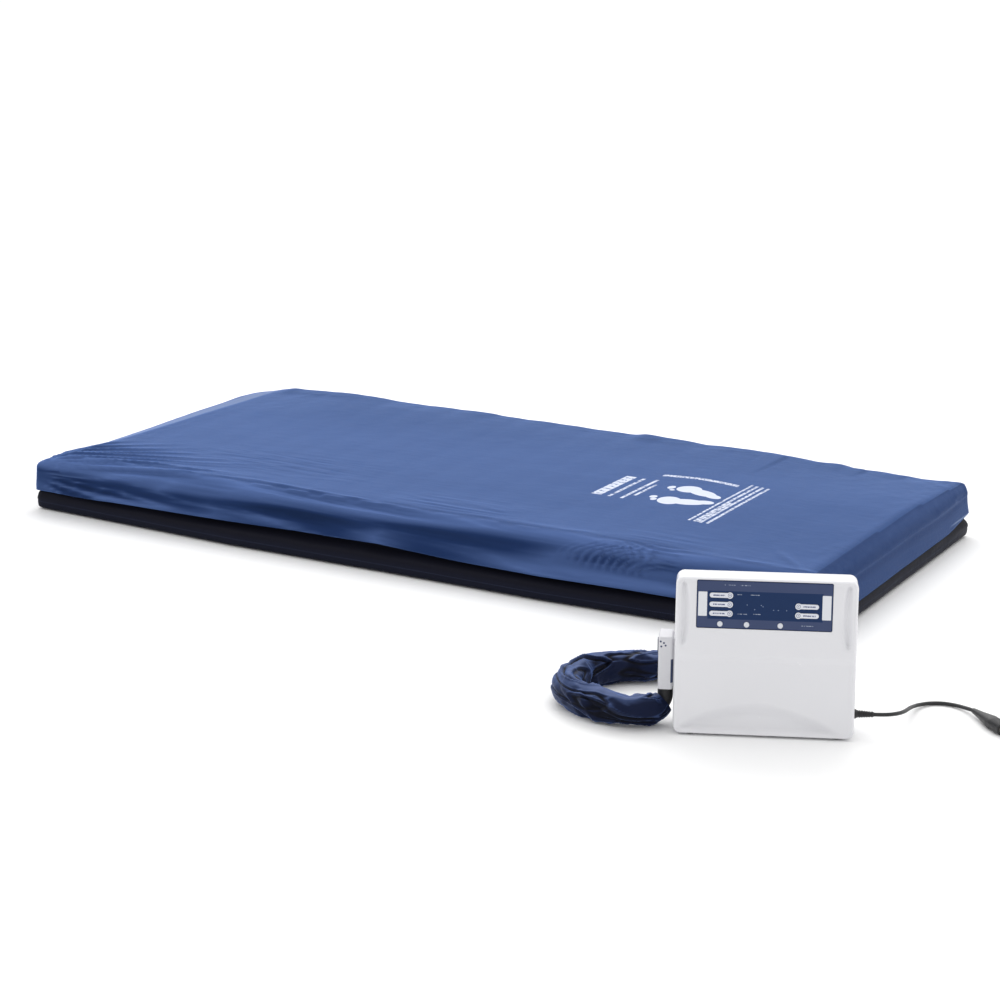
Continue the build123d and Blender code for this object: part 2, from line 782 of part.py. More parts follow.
with BuildPart() as hook_pins:
    with BuildSketch(pump_level(hook_low - 4 - fit_gap)):
        with Locations((-hook_pivot_x, hook_pivot_y), (hook_pivot_x, hook_pivot_y)):
            Circle(hinge_pin_radius)
    extrude(amount=hook_high - hook_low + 8 + 2 * fit_gap)
hook_pins.part.label = "hook_pins"
export_step(hook_pins.part, "parts/hook_pins.step")

with BuildPart() as air_filter:
    with BuildSketch(pump_elevation(pump_depth - 4)):
        with Locations((0, filter_centre)):
            Rectangle(55.6, 35.6)
    extrude(amount=6)
air_filter.part.label = "air_filter"
export_step(air_filter.part, "parts/air_filter.step")

with BuildPart() as filter_cover:
    with BuildSketch(pump_elevation(pump_depth + 0.5)):
        with BuildLine():
            Polyline((-31, 66), (31, 66), (31, 108), (25, 108), (25, 112), (-25, 112), (-25, 108), (-31, 108), close=True)
        make_face()
        with Locations(*[(0, z) for z in range(76, 104, 6)]):
            SlotOverall(46, 2.6, mode=Mode.SUBTRACT)
    extrude(amount=-2.5)
    with BuildSketch(pump_side(-25)):
        with Locations((filter_hinge_y, filter_hinge_z)):
            Circle(2.5)
    extrude(amount=50)
    with BuildSketch(pump_side(-25)):
        with Locations((filter_hinge_y, filter_hinge_z)):
            Circle(filter_pin_radius + running_gap)
    extrude(amount=50, mode=Mode.SUBTRACT)
filter_cover.part.label = "filter_cover"
export_step(filter_cover.part, "parts/filter_cover.step")

rocker_tilt = 8.0
rocker_normal = across * cos(radians(rocker_tilt)) + upwards * sin(radians(rocker_tilt))
rocker_plane = Plane(
    origin=pump_point(pump_width / 2 - 1.5, rocker_y, rocker_z), x_dir=backwards, z_dir=rocker_normal
)

with BuildPart() as mains_rocker:
    with BuildSketch(rocker_plane):
        Rectangle(rocker_width, rocker_length)
    extrude(amount=3)
    extrude(to_extrude=mains_rocker.faces().sort_by(Axis(pump_point(0, 0, 0), across))[0], amount=3)
    fillet(mains_rocker.faces().sort_by(Axis(pump_point(0, 0, 0), rocker_normal))[-1].edges(), 1)
mains_rocker.part.label = "mains_rocker"
export_step(mains_rocker.part, "parts/mains_rocker.step")


# ---------------------------------------------------------------- coupler and umbilical
coupler_middle = -pump_width / 2 - 2 - coupler_width / 2
button_z = 143.0

with BuildPart() as hose_coupler:
    with BuildSketch(pump_level(coupler_bottom)):
        with Locations((coupler_middle, coupler_y)):
            RectangleRounded(coupler_width, coupler_depth, 5)
    extrude(amount=coupler_top - coupler_bottom)
    fillet(hose_coupler.faces().sort_by(Axis.Z)[-1].edges(), 4.5)
    # narrower plate against the case, leaving a recess all round
    with BuildSketch(pump_side(-pump_width / 2)):
        with Locations((coupler_y, (coupler_bottom + coupler_top) / 2)):
            RectangleRounded(coupler_depth - 8, coupler_top - coupler_bottom - 8, 4)
    extrude(amount=-4)
    with BuildSketch(pump_side(-pump_width / 2)):
        with Locations(*[(port_y, z) for z in port_heights]):
            Circle(5.8)
    extrude(amount=7)
    # pocket for the release button
    with BuildSketch(pump_side(coupler_middle - coupler_width / 2)):
        with Locations((coupler_y, button_z)):
            RectangleRounded(16 + 2 * fit_gap, 24 + 2 * fit_gap, 3)
    extrude(amount=8, mode=Mode.SUBTRACT)
hose_coupler.part.label = "hose_coupler"
export_step(hose_coupler.part, "parts/hose_coupler.step")

with BuildPart() as coupler_button:
    with BuildSketch(pump_side(coupler_middle - coupler_width / 2 - 2)):
        with Locations((coupler_y, button_z)):
            RectangleRounded(16, 24, 3)
    extrude(amount=7)
    fillet(coupler_button.faces().sort_by(Axis(pump_point(0, 0, 0), across))[0].edges(), 0.8)
coupler_button.part.label = "coupler_button"
export_step(coupler_button.part, "parts/coupler_button.step")

# The umbilical leaves the cuff, makes a loop on the floor and runs back to the mattress.
sleeve_bends = [
    (899, -1011),
    (878, -1022),
    (848, -1021),
    (816, -1013),
    (783, -1005),
    (753, -990),
    (728, -956),
    (718, -906),
    (732, -854),
    (775, -818),
    (825, -783),
    (874, -736),
    (903, -675),
    (913, -605),
    (entry_x, -540),
]
cuff_top = pump_point(coupler_middle, coupler_y, coupler_bottom)
cuff_bend = 24.0
cuff_corner = Vector(cuff_top.X, cuff_top.Y, sleeve_axis_height)
cuff_out = (Vector(*sleeve_bends[0], sleeve_axis_height) - cuff_corner).normalized()
cuff_end = cuff_corner + cuff_out * (cuff_bend + 2)

with BuildPart() as hose_cuff:
    with BuildLine() as cuff_route:
        FilletPolyline(cuff_top, cuff_corner, cuff_end, radius=cuff_bend)
    with BuildSketch(Plane(origin=cuff_top, x_dir=cuff_out, z_dir=(0, 0, -1))):
        Circle(cuff_radius)
    sweep()
hose_cuff.part.label = "hose_cuff"
export_step(hose_cuff.part, "parts/hose_cuff.step")

sleeve_end = (entry_x, -base_width / 2 - entry_reach)
sleeve_route = [(cuff_end.X, cuff_end.Y), *sleeve_bends, sleeve_end]
sleeve_points = [(x, y, sleeve_axis_height) for x, y in sleeve_route]

with BuildPart() as umbilical_hose:
    with BuildLine() as sleeve_line:
        FilletPolyline(*sleeve_points, radius=bend_radii(sleeve_points))
    with BuildSketch(Plane(origin=sleeve_line.line @ 0, z_dir=sleeve_line.line % 0)):
        Circle(sleeve_radius)
    sweep()
umbilical_hose.part.label = "umbilical_hose"
export_step(umbilical_hose.part, "parts/umbilical_hose.step")
print("umbilical", sleeve_line.wires()[0].length, [round(r) for r in bend_radii(sleeve_points)])


# ---------------------------------------------------------------- mains lead
boot_root = pump_point(pump_width / 2, boot_y, boot_height)
boot_end = pump_point(pump_width / 2 + boot_length, boot_y, boot_height)

with BuildPart() as cord_boot:
    with BuildSketch(Plane(origin=boot_root, x_dir=across, z_dir=backwards)):
        with BuildLine():
            Polyline(
                (-6, 0),
                (-6, 8.5),
                (-pump_wall, 8.5),
                (-pump_wall, 6),
                (0, 6),
                (0, 8.5),
                (4, 8.5),
                (6, 7),
                (boot_length, lead_radius + 1),
                (boot_length, 0),
                close=True,
            )
        make_face()
    revolve(axis=Axis(boot_root, across))
cord_boot.part.label = "cord_boot"
export_step(cord_boot.part, "parts/cord_boot.step")

# The lead drops from the boot to the floor, curves back and round, and ends in its plug.
lead_points = [
    (boot_end.X, boot_end.Y, boot_end.Z),
    (1283.8, -835.9, 38),
    (1296.6, -820.6, 37),
    (1301.5, -798.5, 33.5),
    (1299, -771, 27.5),
    (1293, -739, 19.5),
    (1288, -706, 11.5),
    (1290, -675, 5.5),
    (1303, -652, 3.7),
    (1324, -641, 3.7),
    (1347, -641, 4.2),
    (1368, -651, 6.5),
    (1387, -667, 10.7),
]

with BuildPart() as mains_cord:
    with BuildLine() as lead_line:
        FilletPolyline(*lead_points, radius=bend_radii(lead_points))
    with BuildSketch(Plane(origin=lead_line.line @ 0, z_dir=lead_line.line % 0)):
        Circle(lead_radius)
    sweep()
mains_cord.part.label = "mains_cord"
export_step(mains_cord.part, "parts/mains_cord.step")
print("mains lead", lead_line.wires()[0].length, [round(r) for r in bend_radii(lead_points)])

plug_start = lead_line.line @ 1
plug_heading = lead_line.line % 1
plug_level = Vector(plug_heading.X, plug_heading.Y, 0).normalized()
plug_side = plug_level.cross(upwards)
plug_width, plug_thickness, plug_body_length, plug_neck = 27.0, 21.0, 40.0, 58.0
plug_axis_height = plug_thickness / 2 + 0.2


def plug_section(distance, height, width, thickness):
    origin = Vector(plug_start.X, plug_start.Y, height) + plug_level * distance
    return Plane(origin=origin, x_dir=plug_side, z_dir=plug_level), width, thickness


plug_stations = [
    plug_section(0.6, plug_start.Z, 9.2, 9.0),
    plug_section(plug_neck * 0.45, plug_axis_height, 15, 14),
    plug_section(plug_neck, plug_axis_height, plug_width, plug_thickness),
]

with BuildPart() as mains_plug:
    for plane, width, thickness in plug_stations:
        with BuildSketch(plane):
            RectangleRounded(width, thickness, thickness * 0.46)
    loft(ruled=True)
    with BuildSketch(plug_stations[-1][0]):
        RectangleRounded(plug_width, plug_thickness, plug_thickness * 0.46)
    extrude(amount=plug_body_length)
    fillet(mains_plug.faces().sort_by(Axis(plug_start, plug_level))[-1].edges(), 2)
    with BuildSketch(plug_stations[-1][0].offset(plug_body_length)):
        with Locations((-7, 0), (7, 0)):
            Rectangle(1.8, 6.4)
        with Locations((0, 6)):
            Rectangle(4.2, 2.2)
    extrude(amount=17)
mains_plug.part.label = "mains_plug"
export_step(mains_plug.part, "parts/mains_plug.step")
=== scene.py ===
"""Pressure relief mattress with its pump: the looks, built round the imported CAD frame, in metres."""

import math

import bmesh
import bpy
import numpy as np
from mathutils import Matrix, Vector, noise


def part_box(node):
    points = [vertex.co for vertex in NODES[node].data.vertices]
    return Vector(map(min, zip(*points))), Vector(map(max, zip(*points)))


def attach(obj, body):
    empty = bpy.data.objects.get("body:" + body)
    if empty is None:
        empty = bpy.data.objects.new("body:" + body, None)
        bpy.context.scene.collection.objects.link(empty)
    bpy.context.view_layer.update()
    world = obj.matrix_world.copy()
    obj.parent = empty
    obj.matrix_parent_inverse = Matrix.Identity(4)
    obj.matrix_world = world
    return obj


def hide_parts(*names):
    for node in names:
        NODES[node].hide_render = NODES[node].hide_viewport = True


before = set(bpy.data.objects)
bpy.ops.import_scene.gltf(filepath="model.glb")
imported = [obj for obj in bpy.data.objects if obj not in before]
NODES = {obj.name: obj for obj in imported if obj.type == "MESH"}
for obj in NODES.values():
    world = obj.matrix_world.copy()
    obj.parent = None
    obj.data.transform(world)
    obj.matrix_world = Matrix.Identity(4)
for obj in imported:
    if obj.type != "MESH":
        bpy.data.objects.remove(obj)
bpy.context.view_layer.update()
ROOT = "mattress_and_pump"
scene = bpy.context.scene


# ---------------------------------------------------------------- sizes and places
half_length, half_width, cover_top = Vector(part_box("top_cover")[1])
base_high = Vector(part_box("base_cover")[1])

PUMP_YAW, PUMP_LEAN = math.radians(24.0), math.radians(9.0)
PUMP_ORIGIN = Vector((1.110, -0.957, 0.0))     # floor under the middle of the pump's front
PUMP_WIDTH, PUMP_HEIGHT, PUMP_FOOT = 0.310, 0.2735, 0.003
PARTING = 0.062                                # front shell's depth, from its lower front edge
across = Vector((math.cos(PUMP_YAW), math.sin(PUMP_YAW), 0))
backwards = Vector((-math.sin(PUMP_YAW), math.cos(PUMP_YAW), 0))
upwards = Vector((0, 0, 1))
face_normal = upwards * math.sin(PUMP_LEAN) - backwards * math.cos(PUMP_LEAN)
face_up = face_normal.cross(across)


def pump_point(x, y, z):
    return PUMP_ORIGIN + across * x + backwards * y + upwards * z


# ---------------------------------------------------------------- camera
CAMERA_PLACE, CAMERA_LENS, CAMERA_SENSOR = (2.43, -4.11, 1.34), 75.85, 36.0
CAMERA_DOWN, CAMERA_TURN = 15.1, 30.3          # degrees below level, and from looking along Y towards -X

camera_data = bpy.data.cameras.new("camera")
camera_data.lens = CAMERA_LENS
camera_data.sensor_width = CAMERA_SENSOR
camera = bpy.data.objects.new("camera", camera_data)
camera.location = CAMERA_PLACE
camera.rotation_euler = (math.radians(90 - CAMERA_DOWN), 0, math.radians(CAMERA_TURN))
scene.collection.objects.link(camera)
scene.camera = camera
scene.view_settings.view_transform = "Standard"


# ---------------------------------------------------------------- mesh helpers
def smooth_shaded(mesh):
    mesh.polygons.foreach_set("use_smooth", [True] * len(mesh.polygons))
    return mesh


def mesh_object(name, points, faces, material=None):
    mesh = bpy.data.meshes.new(name)
    mesh.from_pydata([tuple(p) for p in points], [], [tuple(f) for f in faces])
    mesh.validate()
    smooth_shaded(mesh)
    piece = bpy.data.objects.new(name, mesh)
    scene.collection.objects.link(piece)
    if material:
        mesh.materials.append(material)
    return piece


def read_vertices(piece, name):
    values = np.empty(len(piece.data.vertices) * 3, np.float32)
    piece.data.vertices.foreach_get(name, values)
    return values.reshape(-1, 3).astype(float)


def points_of(piece):
    return read_vertices(piece, "co")


def normals_of(piece):
    return read_vertices(piece, "normal")


def set_points(piece, points):
    piece.data.vertices.foreach_set("co", np.asarray(points, np.float32).ravel())
    piece.data.update()


def set_values(piece, name, values):
    """Keeps one number for each vertex, for the piece's material."""
    kept = piece.data.attributes.new(name, "FLOAT", "POINT")
    kept.data.foreach_set("value", np.asarray(values, np.float32))


def apply_modifiers(piece):
    """The piece's mesh becomes what its modifiers make of it, with none left on it."""
    bpy.context.view_layer.update()
    evaluated = piece.evaluated_get(bpy.context.evaluated_depsgraph_get())
    shaped = bpy.data.meshes.new_from_object(evaluated)
    piece.modifiers.clear()
    piece.data = smooth_shaded(shaped)
    return piece


def subdivide(piece, levels=1):
    modifier = piece.modifiers.new("finer", "SUBSURF")
    modifier.levels = modifier.render_levels = levels
    return apply_modifiers(piece)


def thicken(piece, thickness):
    modifier = piece.modifiers.new("thick", "SOLIDIFY")
    modifier.thickness = thickness
    modifier.offset = -1
    return apply_modifiers(piece)


def smoothstep(low, high, value):
    """From 0 at low to 1 at high, which may be the smaller of the two."""
    t = np.clip((np.asarray(value, float) - low) / (high - low), 0, 1)
    return t * t * (3 - 2 * t)


def noise_at(points, scale, seed=0.0):
    """Noise from -1 to 1 at each point, with its own scale on each axis."""
    scaled = np.asarray(points) * np.asarray(scale) + seed
    return np.array([noise.noise(p) for p in scaled.tolist()])


def plane_noise(first, second, scale, seed):
    """Noise from -1 to 1 over two coordinates, with a scale for each."""
    return noise_at(np.stack([first, second, first * 0], 1), (*scale, 1.0), seed)


def wrinkle(field, sharp):
    """Turns noise from -1 to 1 into narrow raised folds between broad valleys."""
    return np.exp(-np.abs(field) * sharp)


def nurbs_curve(name, points, radius=0.0):
    """One smooth open curve that has the points as its control points."""
    data = bpy.data.curves.new(name, "CURVE")
    data.dimensions = "3D"
    data.resolution_u = 12
    data.bevel_depth = radius
    data.bevel_resolution = 6
    data.use_fill_caps = True
    spline = data.splines.new("NURBS")
    spline.points.add(len(points) - 1)
    for target, point in zip(spline.points, points):
        target.co = (*point, 1)
    spline.order_u = 3
    spline.use_endpoint_u = True
    piece = bpy.data.objects.new(name, data)
    scene.collection.objects.link(piece)
    return piece


def curve_line(points):
    """The points that Blender's own NURBS curve runs through."""
    piece = nurbs_curve("line", points)
    bpy.context.view_layer.update()
    mesh = bpy.data.meshes.new_from_object(piece)
    line = [v.co.copy() for v in mesh.vertices]
    bpy.data.objects.remove(piece)
    return line


def even_line(line, step):
    """The same line with its points evenly spaced."""
    line = np.array([tuple(p) for p in line])
    reach = np.concatenate([[0], np.cumsum(np.linalg.norm(np.diff(line, axis=0), axis=1))])
    places = np.linspace(0, reach[-1], max(2, round(reach[-1] / step)) + 1)
    return np.stack([np.interp(places, reach, line[:, k]) for k in range(3)], axis=1), reach[-1]


def ring_faces(rings, sides):
    """The quads between rings of vertices that follow each other."""
    faces = []
    for start in range(0, (rings - 1) * sides, sides):
        for k in range(sides):
            after = (k + 1) % sides
            faces.append((start + k, start + after, start + sides + after, start + sides + k))
    return faces


def line_frame(line):
    """Unit directions at each point of a line: along it, level across it, and across both."""
    tangents = np.gradient(line, axis=0)
    tangents /= np.linalg.norm(tangents, axis=1)[:, None]
    side = np.cross(tangents, (0, 0, 1))
    side /= np.linalg.norm(side, axis=1)[:, None]
    return tangents, side, np.cross(side, tangents)


def tube_rings(line, sides, radii):
    """Vertices and faces of a tube that follows an even line, with a radius for each of its points."""
    _, side, top = line_frame(line)
    angles = np.linspace(0, 2 * math.pi, sides, endpoint=False)
    points = []
    for centre, radius, across_line, above in zip(line, radii, side, top):
        for angle in angles:
            points.append(centre + radius * (math.cos(angle) * across_line + math.sin(angle) * above))
    return np.array(points), ring_faces(len(line), sides)


def grid_faces(columns, rows, keep=lambda i, j: True):
    """The quads of a grid of vertices, made column by column, and the loop of vertices round its rim."""
    index = lambda i, j: i * rows + j
    faces = [
        (index(i, j), index(i + 1, j), index(i + 1, j + 1), index(i, j + 1))
        for i in range(columns - 1) for j in range(rows - 1) if keep(i, j)
    ]
    rim = [index(i, 0) for i in range(columns)]
    rim += [index(columns - 1, j) for j in range(1, rows)]
    rim += [index(i, rows - 1) for i in range(columns - 2, -1, -1)]
    rim += [index(0, j) for j in range(rows - 2, 0, -1)]
    return faces, rim


def add_skirt(points, faces, rim, rows, place):
    """Rows of quads that leave the rim; place(start, row) is a row's point for the rim's vertex start."""
    above = rim
    for row in range(1, rows + 1):
        this = list(range(len(points), len(points) + len(rim)))
        points.extend([place(start, row) for start in rim])
        for k in range(len(rim)):
            after = (k + 1) % len(rim)
            faces.append((above[after], above[k], this[k], this[after]))
        above = this


def lathe(name, profile, origin, axis, material, sides=48):
    """A closed turned piece: profile is (distance along the axis, radius) from tip to tip."""
    axis = Vector(axis).normalized()
    side = axis.orthogonal().normalized()
    other = axis.cross(side)
    points = []
    for distance, radius in profile:
        for k in range(sides):
            angle = 2 * math.pi * k / sides
            outwards = side * math.cos(angle) + other * math.sin(angle)
            points.append(Vector(origin) + axis * distance + outwards * radius)
    faces = ring_faces(len(profile), sides)
    faces.append(tuple(range(sides))[::-1])
    faces.append(tuple(range((len(profile) - 1) * sides, len(profile) * sides)))
    return mesh_object(name, points, faces, material)


# ---------------------------------------------------------------- material helpers
class Paint:
    """A procedural material: a shader, and short ways to build what goes into it."""

    def __init__(self, name, color, roughness, **settings):
        self.material = bpy.data.materials.new(name)
        self.material.use_nodes = True
        self.tree = self.material.node_tree
        self.shader = self.tree.nodes["Principled BSDF"]
        self.shader.inputs["Base Color"].default_value = (*color, 1)
        self.shader.inputs["Roughness"].default_value = roughness
        for socket, value in settings.items():
            self.shader.inputs[socket.replace("_", " ")].default_value = value
        self.place = self.tree.nodes.new("ShaderNodeTexCoord").outputs["Object"]

    def link(self, socket, value):
        if isinstance(value, bpy.types.NodeSocket):
            self.tree.links.new(value, socket)
        elif isinstance(value, (int, float)):
            socket.default_value = value
        else:
            value = tuple(value)
            socket.default_value = value if len(value) == len(socket.default_value) else (*value, 1)

    def add(self, kind, inputs=(), **settings):
        """A new node with its settings, and what goes into its inputs by name or number."""
        node = self.tree.nodes.new("ShaderNode" + kind)
        for setting, value in settings.items():
            setattr(node, setting, value)
        for socket, value in dict(inputs).items():
            self.link(node.inputs[socket], value)
        return node

    def math(self, operation, *values):
        return self.add("Math", enumerate(values), operation=operation).outputs[0]

    def times(self, first, second):
        return self.math("MULTIPLY", first, second)

    def minus(self, first, second):
        return self.math("SUBTRACT", first, second)

    def away(self, value, centre):
        """How far a value lies from a centre, to either side."""
        return self.math("ABSOLUTE", self.minus(value, centre))

    def wave(self, value, pitch):
        """A sine wave, one turn in each pitch."""
        return self.math("SINE", self.times(value, 2 * math.pi / pitch))

    def dot(self, direction, origin=(0, 0, 0)):
        """How far the point lies along a direction, from an origin."""
        node = self.add("VectorMath", {0: self.place, 1: direction}, operation="DOT_PRODUCT")
        return self.minus(node.outputs["Value"], float(Vector(origin).dot(Vector(direction))))

    def scaled(self, scale):
        scale = scale if hasattr(scale, "__len__") else (scale,) * 3
        return self.add("Mapping", {"Vector": self.place, "Scale": scale}).outputs[0]

    def noise(self, scale, detail=3.0, roughness=0.5):
        inputs = {"Vector": self.scaled(scale), "Scale": 1.0, "Detail": detail, "Roughness": roughness}
        return self.add("TexNoise", inputs).outputs["Fac"]

    def cells(self, scale):
        return self.add("TexVoronoi", {"Vector": self.scaled(scale), "Scale": 1.0}).outputs["Distance"]

    def attribute(self, name):
        return self.add("Attribute", attribute_name=name).outputs["Fac"]

    def facing(self, direction):
        """How squarely the surface faces a direction, from -1 to 1."""
        inputs = {0: self.add("TexCoord").outputs["Normal"], 1: Vector(direction).normalized()}
        return self.add("VectorMath", inputs, operation="DOT_PRODUCT").outputs["Value"]

    def ramp(self, value, low, high):
        """From 0 at low to 1 at high, smooth between."""
        inputs = {"Value": value, "From Min": low, "From Max": high}
        return self.add("MapRange", inputs, interpolation_type="SMOOTHSTEP").outputs["Result"]

    def mix(self, share, first, second):
        return self.add("Mix", {"Factor": share, 6: first, 7: second}, data_type="RGBA").outputs[2]

    def box(self, x, y, middle, half, edge=0.0002):
        """1 inside a rectangle of the two coordinates, with soft edges."""
        inside = [
            self.ramp(self.away(value, centre), reach + edge, reach - edge)
            for value, centre, reach in zip((x, y), middle, half)
        ]
        return self.times(*inside)

    def ellipse(self, x, y, middle, half, turn=0.0, edge=0.04):
        """1 inside a turned ellipse of the two coordinates."""
        dx, dy = self.minus(x, middle[0]), self.minus(y, middle[1])
        c, s = math.cos(turn), math.sin(turn)
        u = self.math("ADD", self.times(dx, c / half[0]), self.times(dy, s / half[0]))
        v = self.math("ADD", self.times(dx, -s / half[1]), self.times(dy, c / half[1]))
        square = self.math("ADD", self.times(u, u), self.times(v, v))
        return self.ramp(square, 1 + edge, 1 - edge)

    def either(self, masks):
        total = masks[0]
        for mask in masks[1:]:
            total = self.math("MAXIMUM", total, mask)
        return total

    def color(self, value):
        self.link(self.shader.inputs["Base Color"], value)

    def rough(self, pattern, spread):
        """Varies the roughness with the pattern, about the shader's own value."""
        socket = self.shader.inputs["Roughness"]
        low = socket.default_value - spread / 2
        self.link(socket, self.math("ADD", self.times(pattern, spread), low))

    def bump(self, height, distance, strength=1.0):
        """Adds a bump on top of those that the shader has already."""
        inputs = {"Strength": strength, "Distance": distance, "Height": height}
        previous = self.shader.inputs["Normal"].links
        if previous:
            inputs["Normal"] = previous[0].from_socket
        self.link(self.shader.inputs["Normal"], self.add("Bump", inputs).outputs[0])


def shaded(color, share):
    return tuple(c * share for c in color)


def moulded(name, color, roughness, grain=0.00004, grain_scale=1800, **settings):
    """Moulded plastic or rubber: a fine grain, and a colour that is very slightly uneven."""
    paint = Paint(name, color, roughness, **settings)
    paint.bump(paint.noise(grain_scale, 2.0), grain)
    paint.color(paint.mix(paint.noise(14, 3.0), color, shaded(color, 0.9)))
    paint.rough(paint.noise(30, 4.0), 0.12)
    return paint.material


def threads(paint, pitch, lean):
    """The pattern of crossing threads; the lean carries it on down the walls."""
    return paint.times(*(paint.wave(paint.dot(along), pitch) for along in ((1, 0, lean), (0, 1, lean))))


def woven(name, color, roughness):
    """Plain woven cloth: crossing threads and a little unevenness."""
    paint = Paint(name, color, roughness)
    paint.bump(threads(paint, 1 / 1400, 0.3), 0.00012, 0.5)
    paint.bump(paint.noise(60, 4.0), 0.00024, 0.5)
    paint.color(paint.mix(paint.noise(9, 4.0), color, shaded(color, 0.8)))
    return paint.material


def metal(name, color, roughness, line_direction):
    """Brushed metal: fine lines along one direction."""
    paint = Paint(name, color, roughness, Metallic=1.0)
    lines = paint.noise([4000 if abs(c) < 0.5 else 60 for c in line_direction], 2.0)
    paint.bump(lines, 0.00002, 0.6)
    paint.rough(lines, 0.2)
    return paint.material


def set_material(node, material):
    NODES[node].data.materials.clear()
    NODES[node].data.materials.append(material)


# ---------------------------------------------------------------- mains lead
LEAD_RADIUS = 0.0035
BOOT_LENGTH = 0.034
BOOT_DEPTH, BOOT_HEIGHT = 0.040, 0.038         # where the lead leaves the pump's right side
boot_root = pump_point(PUMP_WIDTH / 2, BOOT_DEPTH, BOOT_HEIGHT)
boot_end = pump_point(PUMP_WIDTH / 2 + BOOT_LENGTH, BOOT_DEPTH, BOOT_HEIGHT)
LEAD_ROUTE = [
    tuple(boot_end),
    (1.2838, -0.8359, 0.038),
    (1.2966, -0.8206, 0.037),
    (1.3015, -0.7985, 0.0335),
    (1.2990, -0.7710, 0.0275),
    (1.2930, -0.7390, 0.0195),
    (1.2880, -0.7060, 0.0115),
    (1.2900, -0.6750, 0.0055),
    (1.3030, -0.6520, 0.0037),
    (1.3240, -0.6410, 0.0037),
    (1.3470, -0.6410, 0.0042),
    (1.3680, -0.6510, 0.0065),
    (1.3870, -0.6670, 0.0107),
]
PLUG_LENGTH = 0.098                            # cone and body, without the pins
SOFT_BLACK = (0.012, 0.012, 0.014)

black_rubber = moulded("black_rubber", SOFT_BLACK, 0.5, 0.00006, 2500)
lead = nurbs_curve("mains_lead", LEAD_ROUTE, LEAD_RADIUS)
lead.data.materials.append(black_rubber)
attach(lead, ROOT)
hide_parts("mains_cord")


def make_boot():
    """Tapered strain relief with a flange and rings."""
    flange, neck = 0.0085, 0.0068
    ring_count, ring_pitch, taper, groove_depth = 6, 0.0042, 0.0003, 0.0011
    profile = [
        (-0.002, 0.0), (-0.002, 0.0078), (0.0, flange), (0.003, flange), (0.0042, 0.0078), (0.005, neck),
    ]
    for k in range(ring_count):
        start, outer = 0.007 + k * ring_pitch, neck - k * taper
        inner = outer - groove_depth
        profile += [(start, outer), (start + 0.0004, inner)]
        profile += [(start + 0.0016, inner), (start + 0.002, outer)]
    profile += [(0.0325, 0.0050), (BOOT_LENGTH, 0.0044), (BOOT_LENGTH + 0.0004, 0.0)]
    boot = lathe("cord_strain_relief", profile, boot_root, across, black_rubber)
    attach(boot, ROOT)
    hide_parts("cord_boot")
    return boot


boot = make_boot()


def plug_material():
    """Black moulded plug with bright pins."""
    start, end = Vector(LEAD_ROUTE[-2]), Vector(LEAD_ROUTE[-1])
    heading = Vector((end.x - start.x, end.y - start.y, 0)).normalized()
    pins_from = end + heading * (PLUG_LENGTH + 0.0002)
    grip_pitch, body_from, body_full = 0.004, 0.066, 0.070
    paint = Paint("plug_black", SOFT_BLACK, 0.42)
    pin = paint.ramp(paint.dot(heading, pins_from), -0.0001, 0.0001)
    paint.color(paint.mix(pin, SOFT_BLACK, (0.62, 0.6, 0.56)))
    paint.link(paint.shader.inputs["Metallic"], pin)
    along = paint.dot(heading, end)
    on_body = paint.ramp(along, body_from, body_full)
    paint.bump(paint.times(paint.wave(along, grip_pitch), on_body), 0.0005)
    paint.bump(paint.noise(2500, 2.0), 0.00004)
    return paint.material


set_material("mains_plug", plug_material())
lead_length = even_line(curve_line(LEAD_ROUTE), 0.004)[1]


# ---------------------------------------------------------------- umbilical
SLEEVE_RADIUS = 0.029
SLEEVE_HEIGHT = 0.0294                         # its middle, above the floor
SLEEVE_STEP, SLEEVE_SIDES = 0.0045, 48
COUPLER_GAP, COUPLER_HALF = 0.002, 0.013
COUPLER_MIDDLE = -PUMP_WIDTH / 2 - COUPLER_GAP - COUPLER_HALF
CUFF_DEPTH, CUFF_HEIGHT, CUFF_RUN = 0.064, 0.070, 0.026
cuff_top = pump_point(COUPLER_MIDDLE, CUFF_DEPTH, CUFF_HEIGHT)
SLEEVE_BENDS = [
    (0.899, -1.011),
    (0.878, -1.022),
    (0.848, -1.021),
    (0.816, -1.013),
    (0.783, -1.005),
    (0.753, -0.990),
    (0.728, -0.956),
    (0.718, -0.906),
    (0.732, -0.854),
    (0.775, -0.818),
    (0.825, -0.783),
    (0.874, -0.736),
    (0.903, -0.675),
    (0.913, -0.605),
    (0.915, -0.540),
]
cuff_corner = Vector((cuff_top.x, cuff_top.y, SLEEVE_HEIGHT))
cuff_out = (Vector((*SLEEVE_BENDS[0], SLEEVE_HEIGHT)) - cuff_corner).normalized()
cuff_end = cuff_corner + cuff_out * CUFF_RUN
SLEEVE_ROUTE = [
    tuple(cuff_end),
    *[(x, y, SLEEVE_HEIGHT) for x, y in SLEEVE_BENDS],
    (0.915, -0.470, SLEEVE_HEIGHT),
]


